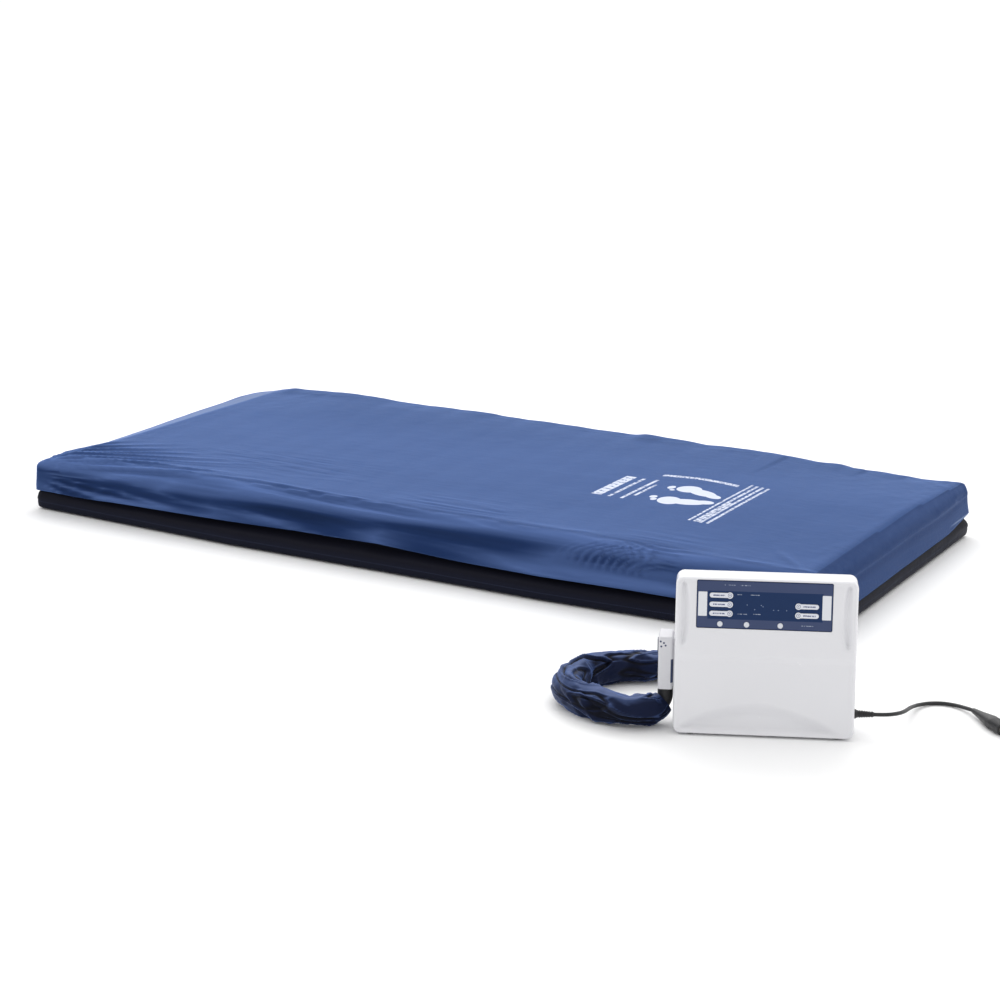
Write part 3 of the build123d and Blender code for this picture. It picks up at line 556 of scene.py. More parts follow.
def nylon(name, color, roughness):
    """Shiny woven nylon with fine creases: painted light on what faces up and on the ridges of its folds,
    painted shade in their valleys.
    """
    paint = Paint(name, color, roughness, Specular_IOR_Level=0.07,
                  Sheen_Weight=0.5, Sheen_Roughness=0.35, Sheen_Tint=(0.25, 0.42, 1.0, 1))
    paint.bump(paint.noise(60, 5.0, 0.55), 0.0010, 0.4)
    paint.bump(paint.cells(300), 0.0002, 0.25)
    # painted highlight colour and painted shade colour
    light, dark = (0.046, 0.074, 0.180), (0.0030, 0.0034, 0.0080)
    worn = paint.mix(paint.noise(22, 4.0), color, shaded(color, 0.6))
    # painted light on what faces up, towards the light
    painted_lit_upper = paint.ramp(paint.facing((-0.3, 0.35, 0.9)), 0.25, 0.85)
    shade = paint.mix(painted_lit_upper, worn, light)
    # painted shade in the fold valleys and a painted highlight on the ridges
    fold = paint.attribute("fold")
    shade = paint.mix(paint.ramp(fold, -0.1, -0.7), shade, dark)
    paint.color(paint.mix(paint.times(paint.ramp(fold, 0.35, 0.9), 0.7), shade, light))
    return paint.material


def sleeve_bulk(along, length):
    """How thick the bunched sleeve is at each place, as a share of its usual radius."""
    places = [0.0, 0.02, 0.07, 0.11, 0.16, 0.24, 0.30, 0.36, 0.44, length - 0.03, length]
    return np.interp(along, places, [0.75, 0.96, 0.98, 0.94, 1.06, 1.10, 1.12, 1.06, 0.98, 1.0, 0.62])


def make_sleeve():
    """Crumpled fabric sleeve round the hoses, lying on the floor."""
    # the cloth's gathered end reaches back round the cuff's bend
    back = [cuff_corner + cuff_out * out + upwards * up for out, up in ((0.004, 0.009), (0.013, 0.003))]
    full, length = even_line([*back, *curve_line(SLEEVE_ROUTE)], SLEEVE_STEP)
    radii = (SLEEVE_RADIUS - 0.001) * sleeve_bulk(np.linspace(0, length, len(full)), length)
    points, faces = tube_rings(full, SLEEVE_SIDES, radii)
    navy = nylon("sleeve_nylon", (0.008, 0.013, 0.040), 0.36)
    sleeve = mesh_object("umbilical_sleeve", points, faces, navy)
    subdivide(sleeve)
    pinch_sleeve(sleeve, full)
    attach(sleeve, ROOT)
    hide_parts("umbilical_hose")
    return sleeve, full, length


def facets(u, v, around, seed):
    """Flat triangular facets that meet in sharp folds: from -1 to 1 over a grid that closes round v."""
    i, j = np.floor(u).astype(int), np.floor(v).astype(int)
    fu, fv = u - i, v - j
    rows = 200                                 # more than the sleeve has along it
    checks = (-1.0) ** (np.arange(rows)[:, None] + np.arange(around)[None])
    corners = np.random.default_rng(seed).uniform(-1, 1, (rows, around)) * 0.55 + 0.45 * checks
    at = lambda a, b: corners[a % rows, b % around]
    low, along, beside, high = at(i, j), at(i + 1, j), at(i, j + 1), at(i + 1, j + 1)
    one = np.where(
        fu > fv, low + fu * (along - low) + fv * (high - along),
        low + fv * (beside - low) + fu * (high - beside),
    )
    other = np.where(
        fu + fv < 1, low + fu * (along - low) + fv * (beside - low),
        high + (1 - fu) * (beside - high) + (1 - fv) * (along - high),
    )
    return np.where((i * 7 + j * 3) % 5 < 3, one, other)


# the sleeve's facets: how long, how many round it, and how high
BROAD_LENGTH, BROAD_COUNT, BROAD_HEIGHT = 0.046, 5, 0.0072
SMALL_LENGTH, SMALL_COUNT, SMALL_HEIGHT = 0.021, 9, 0.0018
# its slantwise creases: scale along it, share round it, seed and height
SLEEVE_CREASES = ((6.5, 0.9, 4.0, 0.0044), (10.5, 1.3, 23.0, 0.0024))
SLEEVE_SINK = 0.001                            # makes up for what the folds stand out
SLEEVE_LEAST, SLEEVE_MOST = 0.012, 0.0375      # limits of its radius
SLEEVE_GATHERED = 0.03                         # stretch at the cuff where the folds fade in


def pinch_sleeve(sleeve, line):
    """Broad flat facets and sharp folds between them, as slack nylon makes round a bent hose."""
    points = points_of(sleeve)
    tangents, side, _ = line_frame(line)
    index = np.argmin(((points[:, None] - line[None]) ** 2).sum(2), axis=1)
    offset = points - line[index]
    past = (offset * tangents[index]).sum(1)
    along = np.cumsum(np.concatenate([[0], np.linalg.norm(np.diff(line, axis=0), axis=1)]))[index] + past
    offset -= tangents[index] * past[:, None]
    turn = np.arctan2(offset[:, 2], (offset * side[index]).sum(1)) / (2 * math.pi) + 0.5
    angle = turn * 2 * math.pi
    warp = 0.35 * plane_noise(along, along * 0, (14, 1), 3.0)
    around = (turn + along * 1.1) % 1.0        # the facets wind slowly round the sleeve
    broad_place = along / BROAD_LENGTH + warp + 0.6 * np.sin(angle)
    small_place = along / SMALL_LENGTH - warp + 0.4 * np.sin(angle + 1)
    broad = facets(broad_place, around * BROAD_COUNT, BROAD_COUNT, 7)
    small = facets(small_place, around * SMALL_COUNT, SMALL_COUNT, 12)
    lift = BROAD_HEIGHT * broad + SMALL_HEIGHT * small - SLEEVE_SINK
    # painted light and shade: lighter on facets that stand out and on crease ridges, darker in the valleys
    tone = 0.45 * broad + 0.15 * small
    # sharp creases, each a ridge beside a deep valley
    for scale, share, seed, height in SLEEVE_CREASES:
        ring = np.stack([along * scale, np.cos(angle) * share, np.sin(angle) * share], 1)
        field = noise_at(ring, 1.0, seed)
        ridge, valley = wrinkle(field, 15.0), wrinkle(field - 0.13, 13.0)
        lift += height * (ridge - 1.2 * valley)
        tone += 0.95 * ridge - 1.25 * valley
    reach = np.linalg.norm(offset, axis=1)
    target = np.clip(reach + lift * smoothstep(0.0, SLEEVE_GATHERED, along), SLEEVE_LEAST, SLEEVE_MOST)
    points += offset * ((target - reach) / np.maximum(reach, 1e-9))[:, None]
    points[:, 2] = np.maximum(points[:, 2], 0.0005)
    set_points(sleeve, points)
    # kept as the fold value, which the nylon turns into painted light and shade
    set_values(sleeve, "fold", tone)


sleeve, sleeve_line, sleeve_length = make_sleeve()


# ---------------------------------------------------------------- covers
CELL_PITCH = 0.0985
COVER_HEIGHT = cover_top + 0.0015              # the flat top, before it follows the cells


def hem_height(x, y):
    """Lower edge of the flap: it hangs unevenly, lowest at the foot end."""
    along = np.interp(
        x, [-1.0, -0.9, -0.7, -0.45, -0.2, 0.0, 0.2, 0.4, 0.6, 0.8, 1.0],
        [0.047, 0.048, 0.052, 0.055, 0.060, 0.061, 0.054, 0.051, 0.053, 0.052, 0.046],
    )
    foot = np.interp(y, [-0.45, -0.35, 0.3, 0.45], [0.042, 0.036, 0.040, 0.056])
    at_foot = smoothstep(0.96, 1.0, x)
    return along * (1 - at_foot) + foot * at_foot


def edge_radius(x, y):
    """The rounding of the top edge: soft on the near side, crisp on the far one and at the head corners."""
    radius = np.interp(y, [-0.45, -0.30, 0.15, 0.40], [0.038, 0.032, 0.026, 0.008])
    return np.minimum(radius, np.interp(x, [-0.97, -0.88], [0.017, 0.038]))


def rounded_lid(half_x, half_y, high, low_at, radius_at, step, rows):
    """A top and its walls down to a lower edge, with rounded top edges and almost square corners.
    Also gives each point's row, from 0 on the top to the last at the lower edge."""
    xs = np.linspace(-half_x, half_x, round(2 * half_x / step) + 1)
    ys = np.linspace(-half_y, half_y, round(2 * half_y / step) + 1)
    points = [(x, y, high) for x in xs for y in ys]
    faces, rim = grid_faces(len(xs), len(ys))

    def wall_point(start, row):
        x, y, _ = points[start]
        return x, y, high + (float(low_at(x, y)) - high) * row / rows

    add_skirt(points, faces, rim, rows, wall_point)
    row_of = np.concatenate([np.zeros(len(xs) * len(ys)), np.repeat(np.arange(1, rows + 1), len(rim))])
    points = np.array(points)
    x, y, z = points.T
    radius = radius_at(x, y)
    core_x = np.clip(x, radius - half_x, half_x - radius)
    core_y = np.clip(y, radius - half_y, half_y - radius)
    core = np.stack([core_x, core_y, np.minimum(z, high - radius)], axis=1)
    out = points - core
    flat = (np.abs(out[:, 0]) ** 5 + np.abs(out[:, 1]) ** 5) ** 0.2
    reach = np.hypot(flat, out[:, 2])
    far = reach > 1e-9
    points[far] = core[far] + out[far] * (radius / np.maximum(reach, 1e-9))[far, None]
    return points, faces, row_of


# how high the far edge stands along the mattress
FAR_EDGE = (
    (-0.90, 0.1400), (-0.87, 0.1465), (-0.80, 0.1475), (-0.72, 0.1515), (-0.65, 0.1520), (-0.58, 0.1500),
    (-0.50, 0.1460), (-0.40, 0.1462), (-0.27, 0.1476), (-0.245, 0.1482), (-0.22, 0.1442), (-0.05, 0.1430),
    (0.10, 0.1400), (0.165, 0.1400), (0.192, 0.1448), (0.225, 0.1432), (0.30, 0.1405), (0.36, 0.1375),
    (0.44, 0.1406), (0.465, 0.1405), (0.50, 0.1385), (0.53, 0.1395), (0.58, 0.1362), (0.65, 0.1325),
    (0.70, 0.1345), (0.745, 0.1280), (0.80, 0.1284), (0.86, 0.1262), (0.90, 0.1230), (0.95, 0.1258),
    (1.0, 0.1262),
)


def top_shape(points):
    """Lets the flat top down where the mattress is lower, and follows the ripple of its cells."""
    points = points.copy()
    x, y, z = points.T.copy()
    topness = smoothstep(0.085, 0.13, z)
    # the head end slopes from the second cell down to the low first cell
    head_drop = np.interp(y, [-0.45, -0.35, -0.23, -0.04, 0.17, 0.34, 0.42, 0.45],
                          [0.024, 0.024, 0.028, 0.023, 0.017, 0.013, 0.016, 0.021])
    slope = np.clip((-0.903 - x) / 0.085, 0, 1)
    places, heights = zip(*FAR_EDGE)
    broad = np.interp(x, [-0.90, -0.65, -0.25, 0.10, 0.50, 0.80, 1.0],
                      [-0.001, 0.009, 0.005, 0.0, -0.002, -0.012, -0.014])
    crisp = np.interp(x, places, heights) - COVER_HEIGHT - broad
    lower = broad * smoothstep(0.05, 0.42, y) + crisp * smoothstep(0.36, 0.44, y)
    near_foot = -0.007 * smoothstep(0.55, 0.98, x) * smoothstep(0.35, -0.2, y)
    cell = ((x / CELL_PITCH) + 0.5) % 1.0 - 0.5
    groove = np.exp(-(((np.abs(cell) - 0.5) / 0.20) ** 2))
    share = 0.06 + 0.14 * smoothstep(0.30, 0.42, y)
    points[:, 2] += topness * (lower + near_foot - head_drop * slope - 0.0055 * groove * share)
    return points


def wall_profile(points):
    """The wall draws in a little under the top edge and stands out again at the hem."""
    points = points.copy()
    x, y, z = points.T.copy()
    height = [0.040, 0.050, 0.066, 0.082, 0.100, 0.118]
    reach = np.interp(z, height, [0.013, 0.012, 0.004, -0.004, -0.005, 0.0])
    belly = 0.010 * np.exp(-((x / 0.7) ** 4))
    near, far = (smoothstep(half_width - 0.05, half_width - 0.005, side) for side in (-y, y))
    head, foot = (smoothstep(half_length - 0.05, half_length - 0.005, end) for end in (-x, x))
    corner = smoothstep(0.80, 0.98, np.abs(x))
    near_reach = near * (reach * (1 - 0.8 * corner) + belly * smoothstep(0.13, 0.10, z))
    points[:, 1] -= near_reach - far * reach * 0.3
    points[:, 0] += foot * (0.009 * smoothstep(0.125, 0.10, z) + 0.3 * reach) - head * 0.15 * reach
    return points


def cells_form():
    """What the top cover is drawn over: the row of air cells and their ends."""
    inset, top, bottom, step, rows = 0.004, cover_top - 0.0005, 0.05, 0.0115, 8
    points, faces, _ = rounded_lid(
        half_length - inset, half_width - inset, top, lambda x, y: bottom, edge_radius, step, rows
    )
    return mesh_object("cells_form", wall_profile(top_shape(points)), faces)


# the simulated cloth, in the order that Blender takes its settings
CLOTH_SETTINGS = {
    "quality": 5,
    "mass": 0.25,
    "tension_stiffness": 30,
    "compression_stiffness": 20,
    "shear_stiffness": 8,
    "bending_stiffness": 0.12,
    "air_damping": 2.0,
    "vertex_group_mass": "pin",
    "pin_stiffness": 1.0,
    "vertex_group_shrink": "slack",
    "shrink_min": 0.0,
    "shrink_max": -0.06,
}
CLOTH_FRAMES, CLOTH_GAP, CLOTH_FRICTION = 24, 0.001, 15


def drape(cover, form, pin, slack):
    """Simulates the cover as cloth over the form and keeps the result; pin and slack run from 0 to 1."""
    for name, weights in (("pin", pin), ("slack", slack)):
        group = cover.vertex_groups.new(name=name)
        for index, weight in enumerate(weights):
            if weight > 0:
                group.add([index], float(weight), "REPLACE")
    form.modifiers.new("collision", "COLLISION")
    form.collision.thickness_outer = CLOTH_GAP
    form.collision.cloth_friction = CLOTH_FRICTION
    cloth = cover.modifiers.new("cloth", "CLOTH")
    for setting, value in CLOTH_SETTINGS.items():
        setattr(cloth.settings, setting, value)
    cloth.collision_settings.distance_min = CLOTH_GAP
    cloth.point_cache.frame_start, cloth.point_cache.frame_end = 1, CLOTH_FRAMES
    scene.frame_start, scene.frame_end = 1, CLOTH_FRAMES
    for number in range(1, CLOTH_FRAMES + 1):
        scene.frame_set(number)
    apply_modifiers(cover)
    scene.frame_set(1)
    bpy.data.objects.remove(form)


# heights of the cover's folds
SIDE_SWELL, SIDE_FOLD, SIDE_CREASE = 0.0036, 0.0072, 0.0020
CORNER_FOLD, CORNER_CREASE = 0.0085, 0.0028
PATCH_RIPPLE, STRIP_RIPPLE = 0.0016, 0.0018
ARC_FOLD, ARC_PITCH = 0.0078, 0.040
FOOT_CREASE = 0.0020
BROAD_UNEVEN, FINE_UNEVEN = 0.0014, 0.0006


def near_edge(y, start, end):
    """From 0 to 1 as the distance in from the near side falls from start to end."""
    return smoothstep(start - half_width, end - half_width, y)


def side_folds(x, y, z, course, meander):
    """Long folds along the near side, weaker towards the head."""
    wall = near_edge(y, 0.070, 0.010) * smoothstep(0.046, 0.060, z)
    swell = plane_noise(x, course, (3.0, 7.0), 4.0)
    broad = wrinkle(plane_noise(x, course + meander, (2.1, 25.0), 5.0), 4.5)
    thin = wrinkle(plane_noise(x, course + 0.7 * meander, (4.2, 60.0), 2.0), 4.0)
    patches = 0.5 + 0.5 * smoothstep(-0.3, 0.4, plane_noise(x, course, (2.4, 1.0), 12.0))
    strength = patches * (1 - 0.7 * smoothstep(-0.35, -0.70, x))
    folds = SIDE_FOLD * (broad - 0.3) + SIDE_CREASE * (thin - 0.3)
    return wall * (SIDE_SWELL * swell + strength * folds)


def corner_folds(x, y, z, course):
    """Folds that spread out from the near corner of the head end."""
    fan_x, fan_s = x + 1.07, (course + 0.052) * 1.5
    distance, angle = np.hypot(fan_x, fan_s), np.arctan2(fan_s, fan_x)
    broad = wrinkle(plane_noise(angle * 8.5, distance * 2.2, (1, 1), 2.0), 4.0)
    thin = wrinkle(plane_noise(angle * 19.0, distance * 3.0, (1, 1), 6.0), 4.0)
    fade = smoothstep(0.085, 0.17, distance) * smoothstep(0.80, 0.30, distance)
    fade *= near_edge(y, 0.26, 0.03) * smoothstep(0.046, 0.056, z)
    return fade * (CORNER_FOLD * (broad - 0.35) + CORNER_CREASE * (thin - 0.3))


def top_ripple(x, y, z, course, meander):
    """Fine lengthwise ripple: a patch on the top towards the head, and a strip beside the near edge."""
    patch = np.exp(-(((x + 0.42) / 0.22) ** 2 + ((y + 0.24) / 0.09) ** 2))
    patches = smoothstep(0.0, 0.45, plane_noise(x, course, (3.0, 6.0), 21.0))
    strip = near_edge(y, 0.20, 0.07) * smoothstep(0.11, 0.135, z) * patches
    ripple = wrinkle(plane_noise(x, y + 0.1 * meander, (4.0, 62.0), 7.0), 4.5)
    return ripple * (PATCH_RIPPLE * patch + STRIP_RIPPLE * strip)


def foot_arcs(x, y, course):
    """Nested curved folds over the near edge towards the foot end."""
    arc_x, arc_s = x - 0.70, (course + 0.062) * 2.6
    ring, bearing = np.hypot(arc_x, arc_s), np.arctan2(arc_s, -arc_x)
    uneven = 0.5 * plane_noise(x, course, (6, 6), 3.0)
    arcs = wrinkle(np.sin(2 * math.pi * (ring / ARC_PITCH + uneven)), 1.6)
    fade = smoothstep(0.05, 0.09, ring) * smoothstep(0.30, 0.20, ring)
    fade *= smoothstep(-0.15, 0.25, bearing) * smoothstep(1.75, 1.35, bearing)
    return ARC_FOLD * (arcs - 0.4) * fade * near_edge(y, 0.10, 0.02)


def foot_crease(x, y, z):
    """A short slanting crease in the top by the near corner of the foot end."""
    dx, dy = x - 0.905, y + 0.36
    half_wide, half_long = 0.009, 0.055
    over, along = dx * 0.72 + dy * 0.69, dx * 0.69 - dy * 0.72
    return FOOT_CREASE * np.exp(-((over / half_wide) ** 2)) * np.exp(-((along / half_long) ** 2)) * (z > 0.08)


def cover_painted_light_and_shade(points, normals, course, lift):
    """Painted light and shade: how much lighter (above 0) or darker than plain the cloth is painted at each
    point, for the light its shape catches.
    """
    x, y, z = points.T
    # painted light and shade on the near side: painted light where it still turns upwards, painted shade
    # below that, a painted highlight by the flared hem, and painted light and shade along its folds
    upright = smoothstep(0.12, 0.62, -normals[:, 1])
    turn = np.interp(x, [-1.0, -0.6, -0.2, 0.2, 0.6, 1.0], [0.104, 0.097, 0.103, 0.112, 0.118, 0.120])
    turn = turn + 0.012 * plane_noise(x, z, (3.0, 20.0), 9.0)
    painted_lit_upper = smoothstep(turn - 0.010, turn + 0.012, z)
    hem = smoothstep(0.034, 0.008, z - hem_height(x, y))
    hem *= 0.75 + 0.5 * plane_noise(x, course, (4.0, 20.0), 31.0)
    streaks = np.clip(lift / 0.0040, -1.2, 1.2)
    tone = upright * (0.78 * painted_lit_upper + 0.50 * hem - 0.10 + 0.55 * streaks * (1 - 0.4 * painted_lit_upper))
    # painted light and shade: the top is lighter beside the near edge than at the far one
    level_top = smoothstep(0.80, 0.97, normals[:, 2])
    tone += level_top * (0.13 * smoothstep(-0.20, -0.42, y) - 0.30 * smoothstep(0.05, 0.45, y))
    # painted light on the foot wall: lighter under its top edge and lighter again low down by its hem
    foot_wall = smoothstep(0.45, 0.85, normals[:, 0]) * smoothstep(0.93, 0.97, x)
    tone += foot_wall * (0.20 * smoothstep(0.105, 0.125, z) + 0.12 * smoothstep(0.085, 0.065, z))
    return tone


def shape_wrinkles(cover):
    """Presses all the cover's folds into its mesh, and keeps the painted light and shade that go with them.
    """
    points, normals = points_of(cover), normals_of(cover)
    x, y, z = points.T
    # distance round the section: up from the hem, over the near edge and in across the top
    course = (y + half_width) - (COVER_HEIGHT - z)
    meander = 0.016 * plane_noise(x, course, (1.6, 2.0), 8.0) + 0.030 * np.sin(x * 3.0 + 0.6)
    lift = side_folds(x, y, z, course, meander) + corner_folds(x, y, z, course)
    lift += top_ripple(x, y, z, course, meander) + foot_arcs(x, y, course) + foot_crease(x, y, z)
    # broad unevenness of the whole cover
    lift += BROAD_UNEVEN * noise_at(points, (2.0, 3.2, 6.0), 6.0)
    lift += FINE_UNEVEN * noise_at(points, (6.0, 9.0, 9.0), 16.0)
    set_points(cover, points + normals * lift[:, None])
    set_values(cover, "tone", cover_painted_light_and_shade(points, normals, course, lift))


def keep_outside_cells(cover):
    """Lifts the cover where it has sunk below the tops of the cells, which are lower at both ends."""
    points = points_of(cover)
    x, y, z = points.T
    from_middle = np.abs((x / CELL_PITCH) % 1.0 - 0.5) * CELL_PITCH
    number = np.clip(np.floor(x / CELL_PITCH + 10), 0, 19).astype(int)
    tops = np.array([0.107] + [0.138] * 15 + [0.133, 0.130, 0.127, 0.123])
    radius, half_cell, clearance = 0.028, 0.04825, 0.0012
    over = np.clip(from_middle - (half_cell - radius), 0, radius * 0.98)
    floor = tops[number] - radius + np.sqrt(radius**2 - over**2) + clearance
    # not the cover's outermost strip, nor its walls
    inside = (np.abs(y) < half_width - 0.0215) & (np.abs(x) < half_length - 0.0165) & (z > 0.09)
    points[:, 2] = np.where(inside, np.maximum(z, floor), z)
    set_points(cover, points)


def make_top_cover():
    """The blue cover: drawn over the cells, with slack that gathers in wrinkles along its sides."""
    step, rows, zipped_row, most_moved = 0.0105, 10, 6, 0.009
    rest, faces, row_of = rounded_lid(
        half_length, half_width, COVER_HEIGHT, hem_height, edge_radius, step, rows
    )
    rest = wall_profile(top_shape(rest))
    cover = mesh_object("stretch_cover", rest, faces, coated_cloth("cover_blue", 0.74))
    # a copy of the cloth with less sheen, for painted shade on the foot end's wall
    cover.data.materials.append(coated_cloth("cover_blue_shaded_end", 0.34))
    # the zip holds the wall; above it the cloth is slack, most of all on the near side
    side = smoothstep(half_width - 0.20, half_width - 0.02, np.abs(rest[:, 1]))
    ends = smoothstep(half_length - 0.12, half_length - 0.02, np.abs(rest[:, 0]))
    near = np.where(rest[:, 1] < 0, 1.0, 0.4)
    slack = np.clip(np.maximum(side * near, 0.5 * ends) + 0.06, 0, 1)
    drape(cover, cells_form(), row_of >= zipped_row, slack)
    moved = points_of(cover) - rest
    reach = np.linalg.norm(moved, axis=1, keepdims=True)
    moved *= np.minimum(1, most_moved / np.maximum(reach, 1e-9))
    set_points(cover, rest + moved)
    subdivide(cover)
    shape_wrinkles(cover)
    keep_outside_cells(cover)
    # painted shade: the wall at the foot end takes the copy with less sheen, so it is duller than the top
    for face in cover.data.polygons:
        face.material_index = int(face.center.x > half_length - 0.07 and face.normal.x > 0.45)
    thicken(cover, 0.0008)
    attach(cover, ROOT)
    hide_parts("top_cover")
    return cover


# the print's two footprints: middle, half sizes and turn of the toes, ball, arch and heel
FOOTPRINTS = (
    (0.4645, 0.014, 0.0085, 0.014, 0), (0.475, -0.006, 0.006, 0.006, 0), (0.506, 0.018, 0.028, 0.029, -0.35),
    (0.545, 0.003, 0.040, 0.021, -0.42), (0.578, -0.014, 0.022, 0.014, -0.45),
    (0.4645, -0.078, 0.0085, 0.011, 0), (0.473, -0.096, 0.007, 0.009, 0), (0.508, -0.090, 0.026, 0.031, 0.25),
    (0.548, -0.082, 0.040, 0.022, 0.22), (0.582, -0.068, 0.022, 0.015, 0.25),
)
# its lines of small marks: middle and half sizes
PRINT_LINES = (
    (0.3785, -0.036, 0.0040, 0.089), (0.4095, -0.035, 0.0038, 0.091), (0.4250, -0.038, 0.0034, 0.053),
    (0.6125, -0.042, 0.0028, 0.168), (0.6260, -0.045, 0.0034, 0.166), (0.6330, -0.125, 0.0030, 0.085),
    (0.6405, -0.047, 0.0034, 0.166), (0.6555, -0.049, 0.0034, 0.164),
)


def print_mask(paint, x, y):
    """The print near the foot end: two footprints, lines of marks, a bold mark and a curved row."""
    masks = [paint.ellipse(x, y, foot[:2], foot[2:4], foot[4]) for foot in FOOTPRINTS]
    lines = paint.either([paint.box(x, y, line[:2], line[2:]) for line in PRINT_LINES])
    masks.append(paint.times(lines, paint.ramp(paint.noise((70, 260, 1), 1.0), 0.40, 0.47)))
    # the bold mark is plain upright strokes
    strokes = paint.ramp(paint.wave(y, 0.0215), -0.35, 0.1)
    letters = paint.ramp(paint.noise((160, 330, 1), 1.5), 0.42, 0.50)
    title = paint.box(x, y, (0.3455, -0.034), (0.0125, 0.088))
    masks.append(paint.times(title, paint.math("MAXIMUM", strokes, letters)))
    bow = paint.math("ADD", y, paint.times(paint.math("POWER", paint.away(x, 0.49), 2.0), 1.6))
    arc = paint.box(x, bow, (0.496, 0.114), (0.094, 0.0075))
    masks.append(paint.times(arc, paint.ramp(paint.noise((300, 170, 1), 1.5), 0.40, 0.48)))
    return paint.either(masks)


def coated_cloth(name, sheen):
    """Polyurethane-coated stretch cloth: satin, with a fine knit, a soft sheen and very fine creases."""
    deep, light = (0.0105, 0.0260, 0.0900), (0.0130, 0.0310, 0.1020)
    lit, shadowed = (0.080, 0.135, 0.320), (0.006, 0.016, 0.055)
    paint = Paint(name, deep, 0.40, Specular_IOR_Level=0.02,
                  Sheen_Weight=sheen, Sheen_Roughness=0.42, Sheen_Tint=(0.22, 0.42, 1.0, 1))
    x, y, z = (paint.dot(axis) for axis in ((1, 0, 0), (0, 1, 0), (0, 0, 1)))
    paint.bump(threads(paint, 1 / 900, 0.2), 0.00006, 0.3)
    paint.bump(paint.noise((8, 110, 90), 4.0, 0.55), 0.0009, 0.35)
    paint.bump(paint.noise((30, 40, 40), 4.0, 0.6), 0.0008, 0.2)
    blue = paint.mix(paint.noise(3.0, 3.0), deep, light)
    # painted light and shade from the cover's value: towards lit above 0, towards shadowed below 0
    tone = paint.attribute("tone")
    blue = paint.mix(paint.math("MAXIMUM", tone, 0.0), blue, lit)
    blue = paint.mix(paint.times(paint.math("MINIMUM", tone, 0.0), -2.0), blue, shadowed)
    # painted reflection: a neutral band where the head end slopes away, for the sheen of that slope seen at a
    # grazing angle
    painted_sheen_band = paint.times(paint.ramp(x, -0.9070, -0.9120), paint.ramp(x, -0.990, -0.955))
    painted_sheen_band = paint.times(painted_sheen_band, paint.ramp(y, -0.36, -0.28))
    blue = paint.mix(painted_sheen_band, blue, (0.13, 0.135, 0.145))
    # painted highlight: a pale line along the flap's edge at the far corner of the foot end
    corner = paint.times(paint.ramp(x, 0.97, 0.985), paint.ramp(y, 0.30, 0.36))
    edge = paint.times(paint.ramp(paint.away(z, 0.0545), 0.0022, 0.0014), 0.5)
    blue = paint.mix(paint.times(corner, edge), blue, (0.25, 0.32, 0.45))
    paint.color(paint.mix(paint.times(print_mask(paint, x, y), 0.92), blue, (0.80, 0.81, 0.84)))
    return paint.material


top = make_top_cover()


def base_cloth():
    """Black coated nylon with a seam and its stitches low on the wall."""
    stitch_height, stitch_pitch = 0.0195, 0.006
    paint = Paint("cover_black", (0.009, 0.009, 0.014), 0.42, Specular_IOR_Level=0.03)
    height = paint.dot((0, 0, 1))
    along = paint.math("ADD", paint.dot((1, 0, 0)), paint.dot((0, 1, 0)))
    row = paint.ramp(paint.away(height, stitch_height), 0.0011, 0.0006)
    thread = paint.times(paint.ramp(paint.wave(along, stitch_pitch), 0.0, 0.3), row)
    cloth = paint.mix(paint.noise(12, 4.0), (0.0085, 0.0085, 0.0130), (0.0105, 0.0110, 0.0190))
    # painted light: the wall is painted lighter towards the bottom, where it spreads out under the flap
    lower = paint.ramp(height, 0.034, 0.022)
    cloth = paint.mix(paint.times(lower, 0.6), cloth, (0.011, 0.013, 0.026))
    paint.color(paint.mix(thread, cloth, (0.03, 0.036, 0.065)))
    paint.bump(paint.noise((14, 60, 40), 4.0, 0.55), 0.0015, 0.4)
    paint.bump(paint.cells(900), 0.0001, 0.3)
    return paint.material


def make_base_cover():
    """The black lower cover, a tray with a rounded, slightly wavy wall."""
    wall, rounding, step, rows, seam_height = base_high.z, 0.009, 0.016, 8, 0.0165
    points, faces, _ = rounded_lid(
        base_high.x, base_high.y, wall, lambda x, y: 0.0, lambda x, y: np.full_like(x, rounding), step, rows
    )
    points[:, 2] = wall - points[:, 2]
    base = mesh_object("coated_base", points, [face[::-1] for face in faces], base_cloth())
    subdivide(base)
    points, normals = points_of(base), normals_of(base)
    z = points[:, 2]
    seam = np.exp(-(((z - seam_height) / 0.0016) ** 2))
    wave = noise_at(points, (4.0, 4.0, 14.0), 3.0) * smoothstep(0.004, 0.03, z)
    creases = wrinkle(noise_at(points, (5.0, 5.0, 34.0), 11.0), 6)
    lift = 0.0010 * seam + 0.0018 * wave + 0.0022 * creases * smoothstep(0.004, 0.02, z)
    lift[z < 0.0015] = 0
    points += normals * lift[:, None]
    # below the flap the soft wall spreads out to the flap's own line, and past it on the near side
    below = smoothstep(0.056, 0.030, points[:, 2])
    near_spread = np.interp(points[:, 0], [-1.0, -0.7, -0.4, 0.0, 0.4, 0.65, 1.0],
                            [0.009, 0.022, 0.035, 0.034, 0.037, 0.028, 0.014])
    upright = points.copy()
    for axis, sign, spread, inset in (
        (1, -1, near_spread, 0.06), (1, 1, 0.006, 0.05), (0, 1, 0.020, 0.06), (0, -1, 0.008, 0.06)
    ):
        beside = smoothstep(base_high[axis] - inset, base_high[axis] - 0.002, sign * upright[:, axis])
        points[:, axis] += sign * below * spread * beside
    points[:, 2] = np.maximum(points[:, 2], 0.0)
    set_points(base, points)
    thicken(base, 0.0015)
    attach(base, ROOT)
    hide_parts("base_cover")
    return base


base = make_base_cover()


# ---------------------------------------------------------------- pump case
PANEL_X, PANEL_CENTRE, PANEL_WIDTH, PANEL_LENGTH = -0.0035, 0.2317, 0.2315, 0.0833
PANEL_LAP = 0.003                              # how far the panel covers the edge of its opening
CORNER, EDGE = 0.014, 0.008                    # roundings of the case's outline and of its front edge


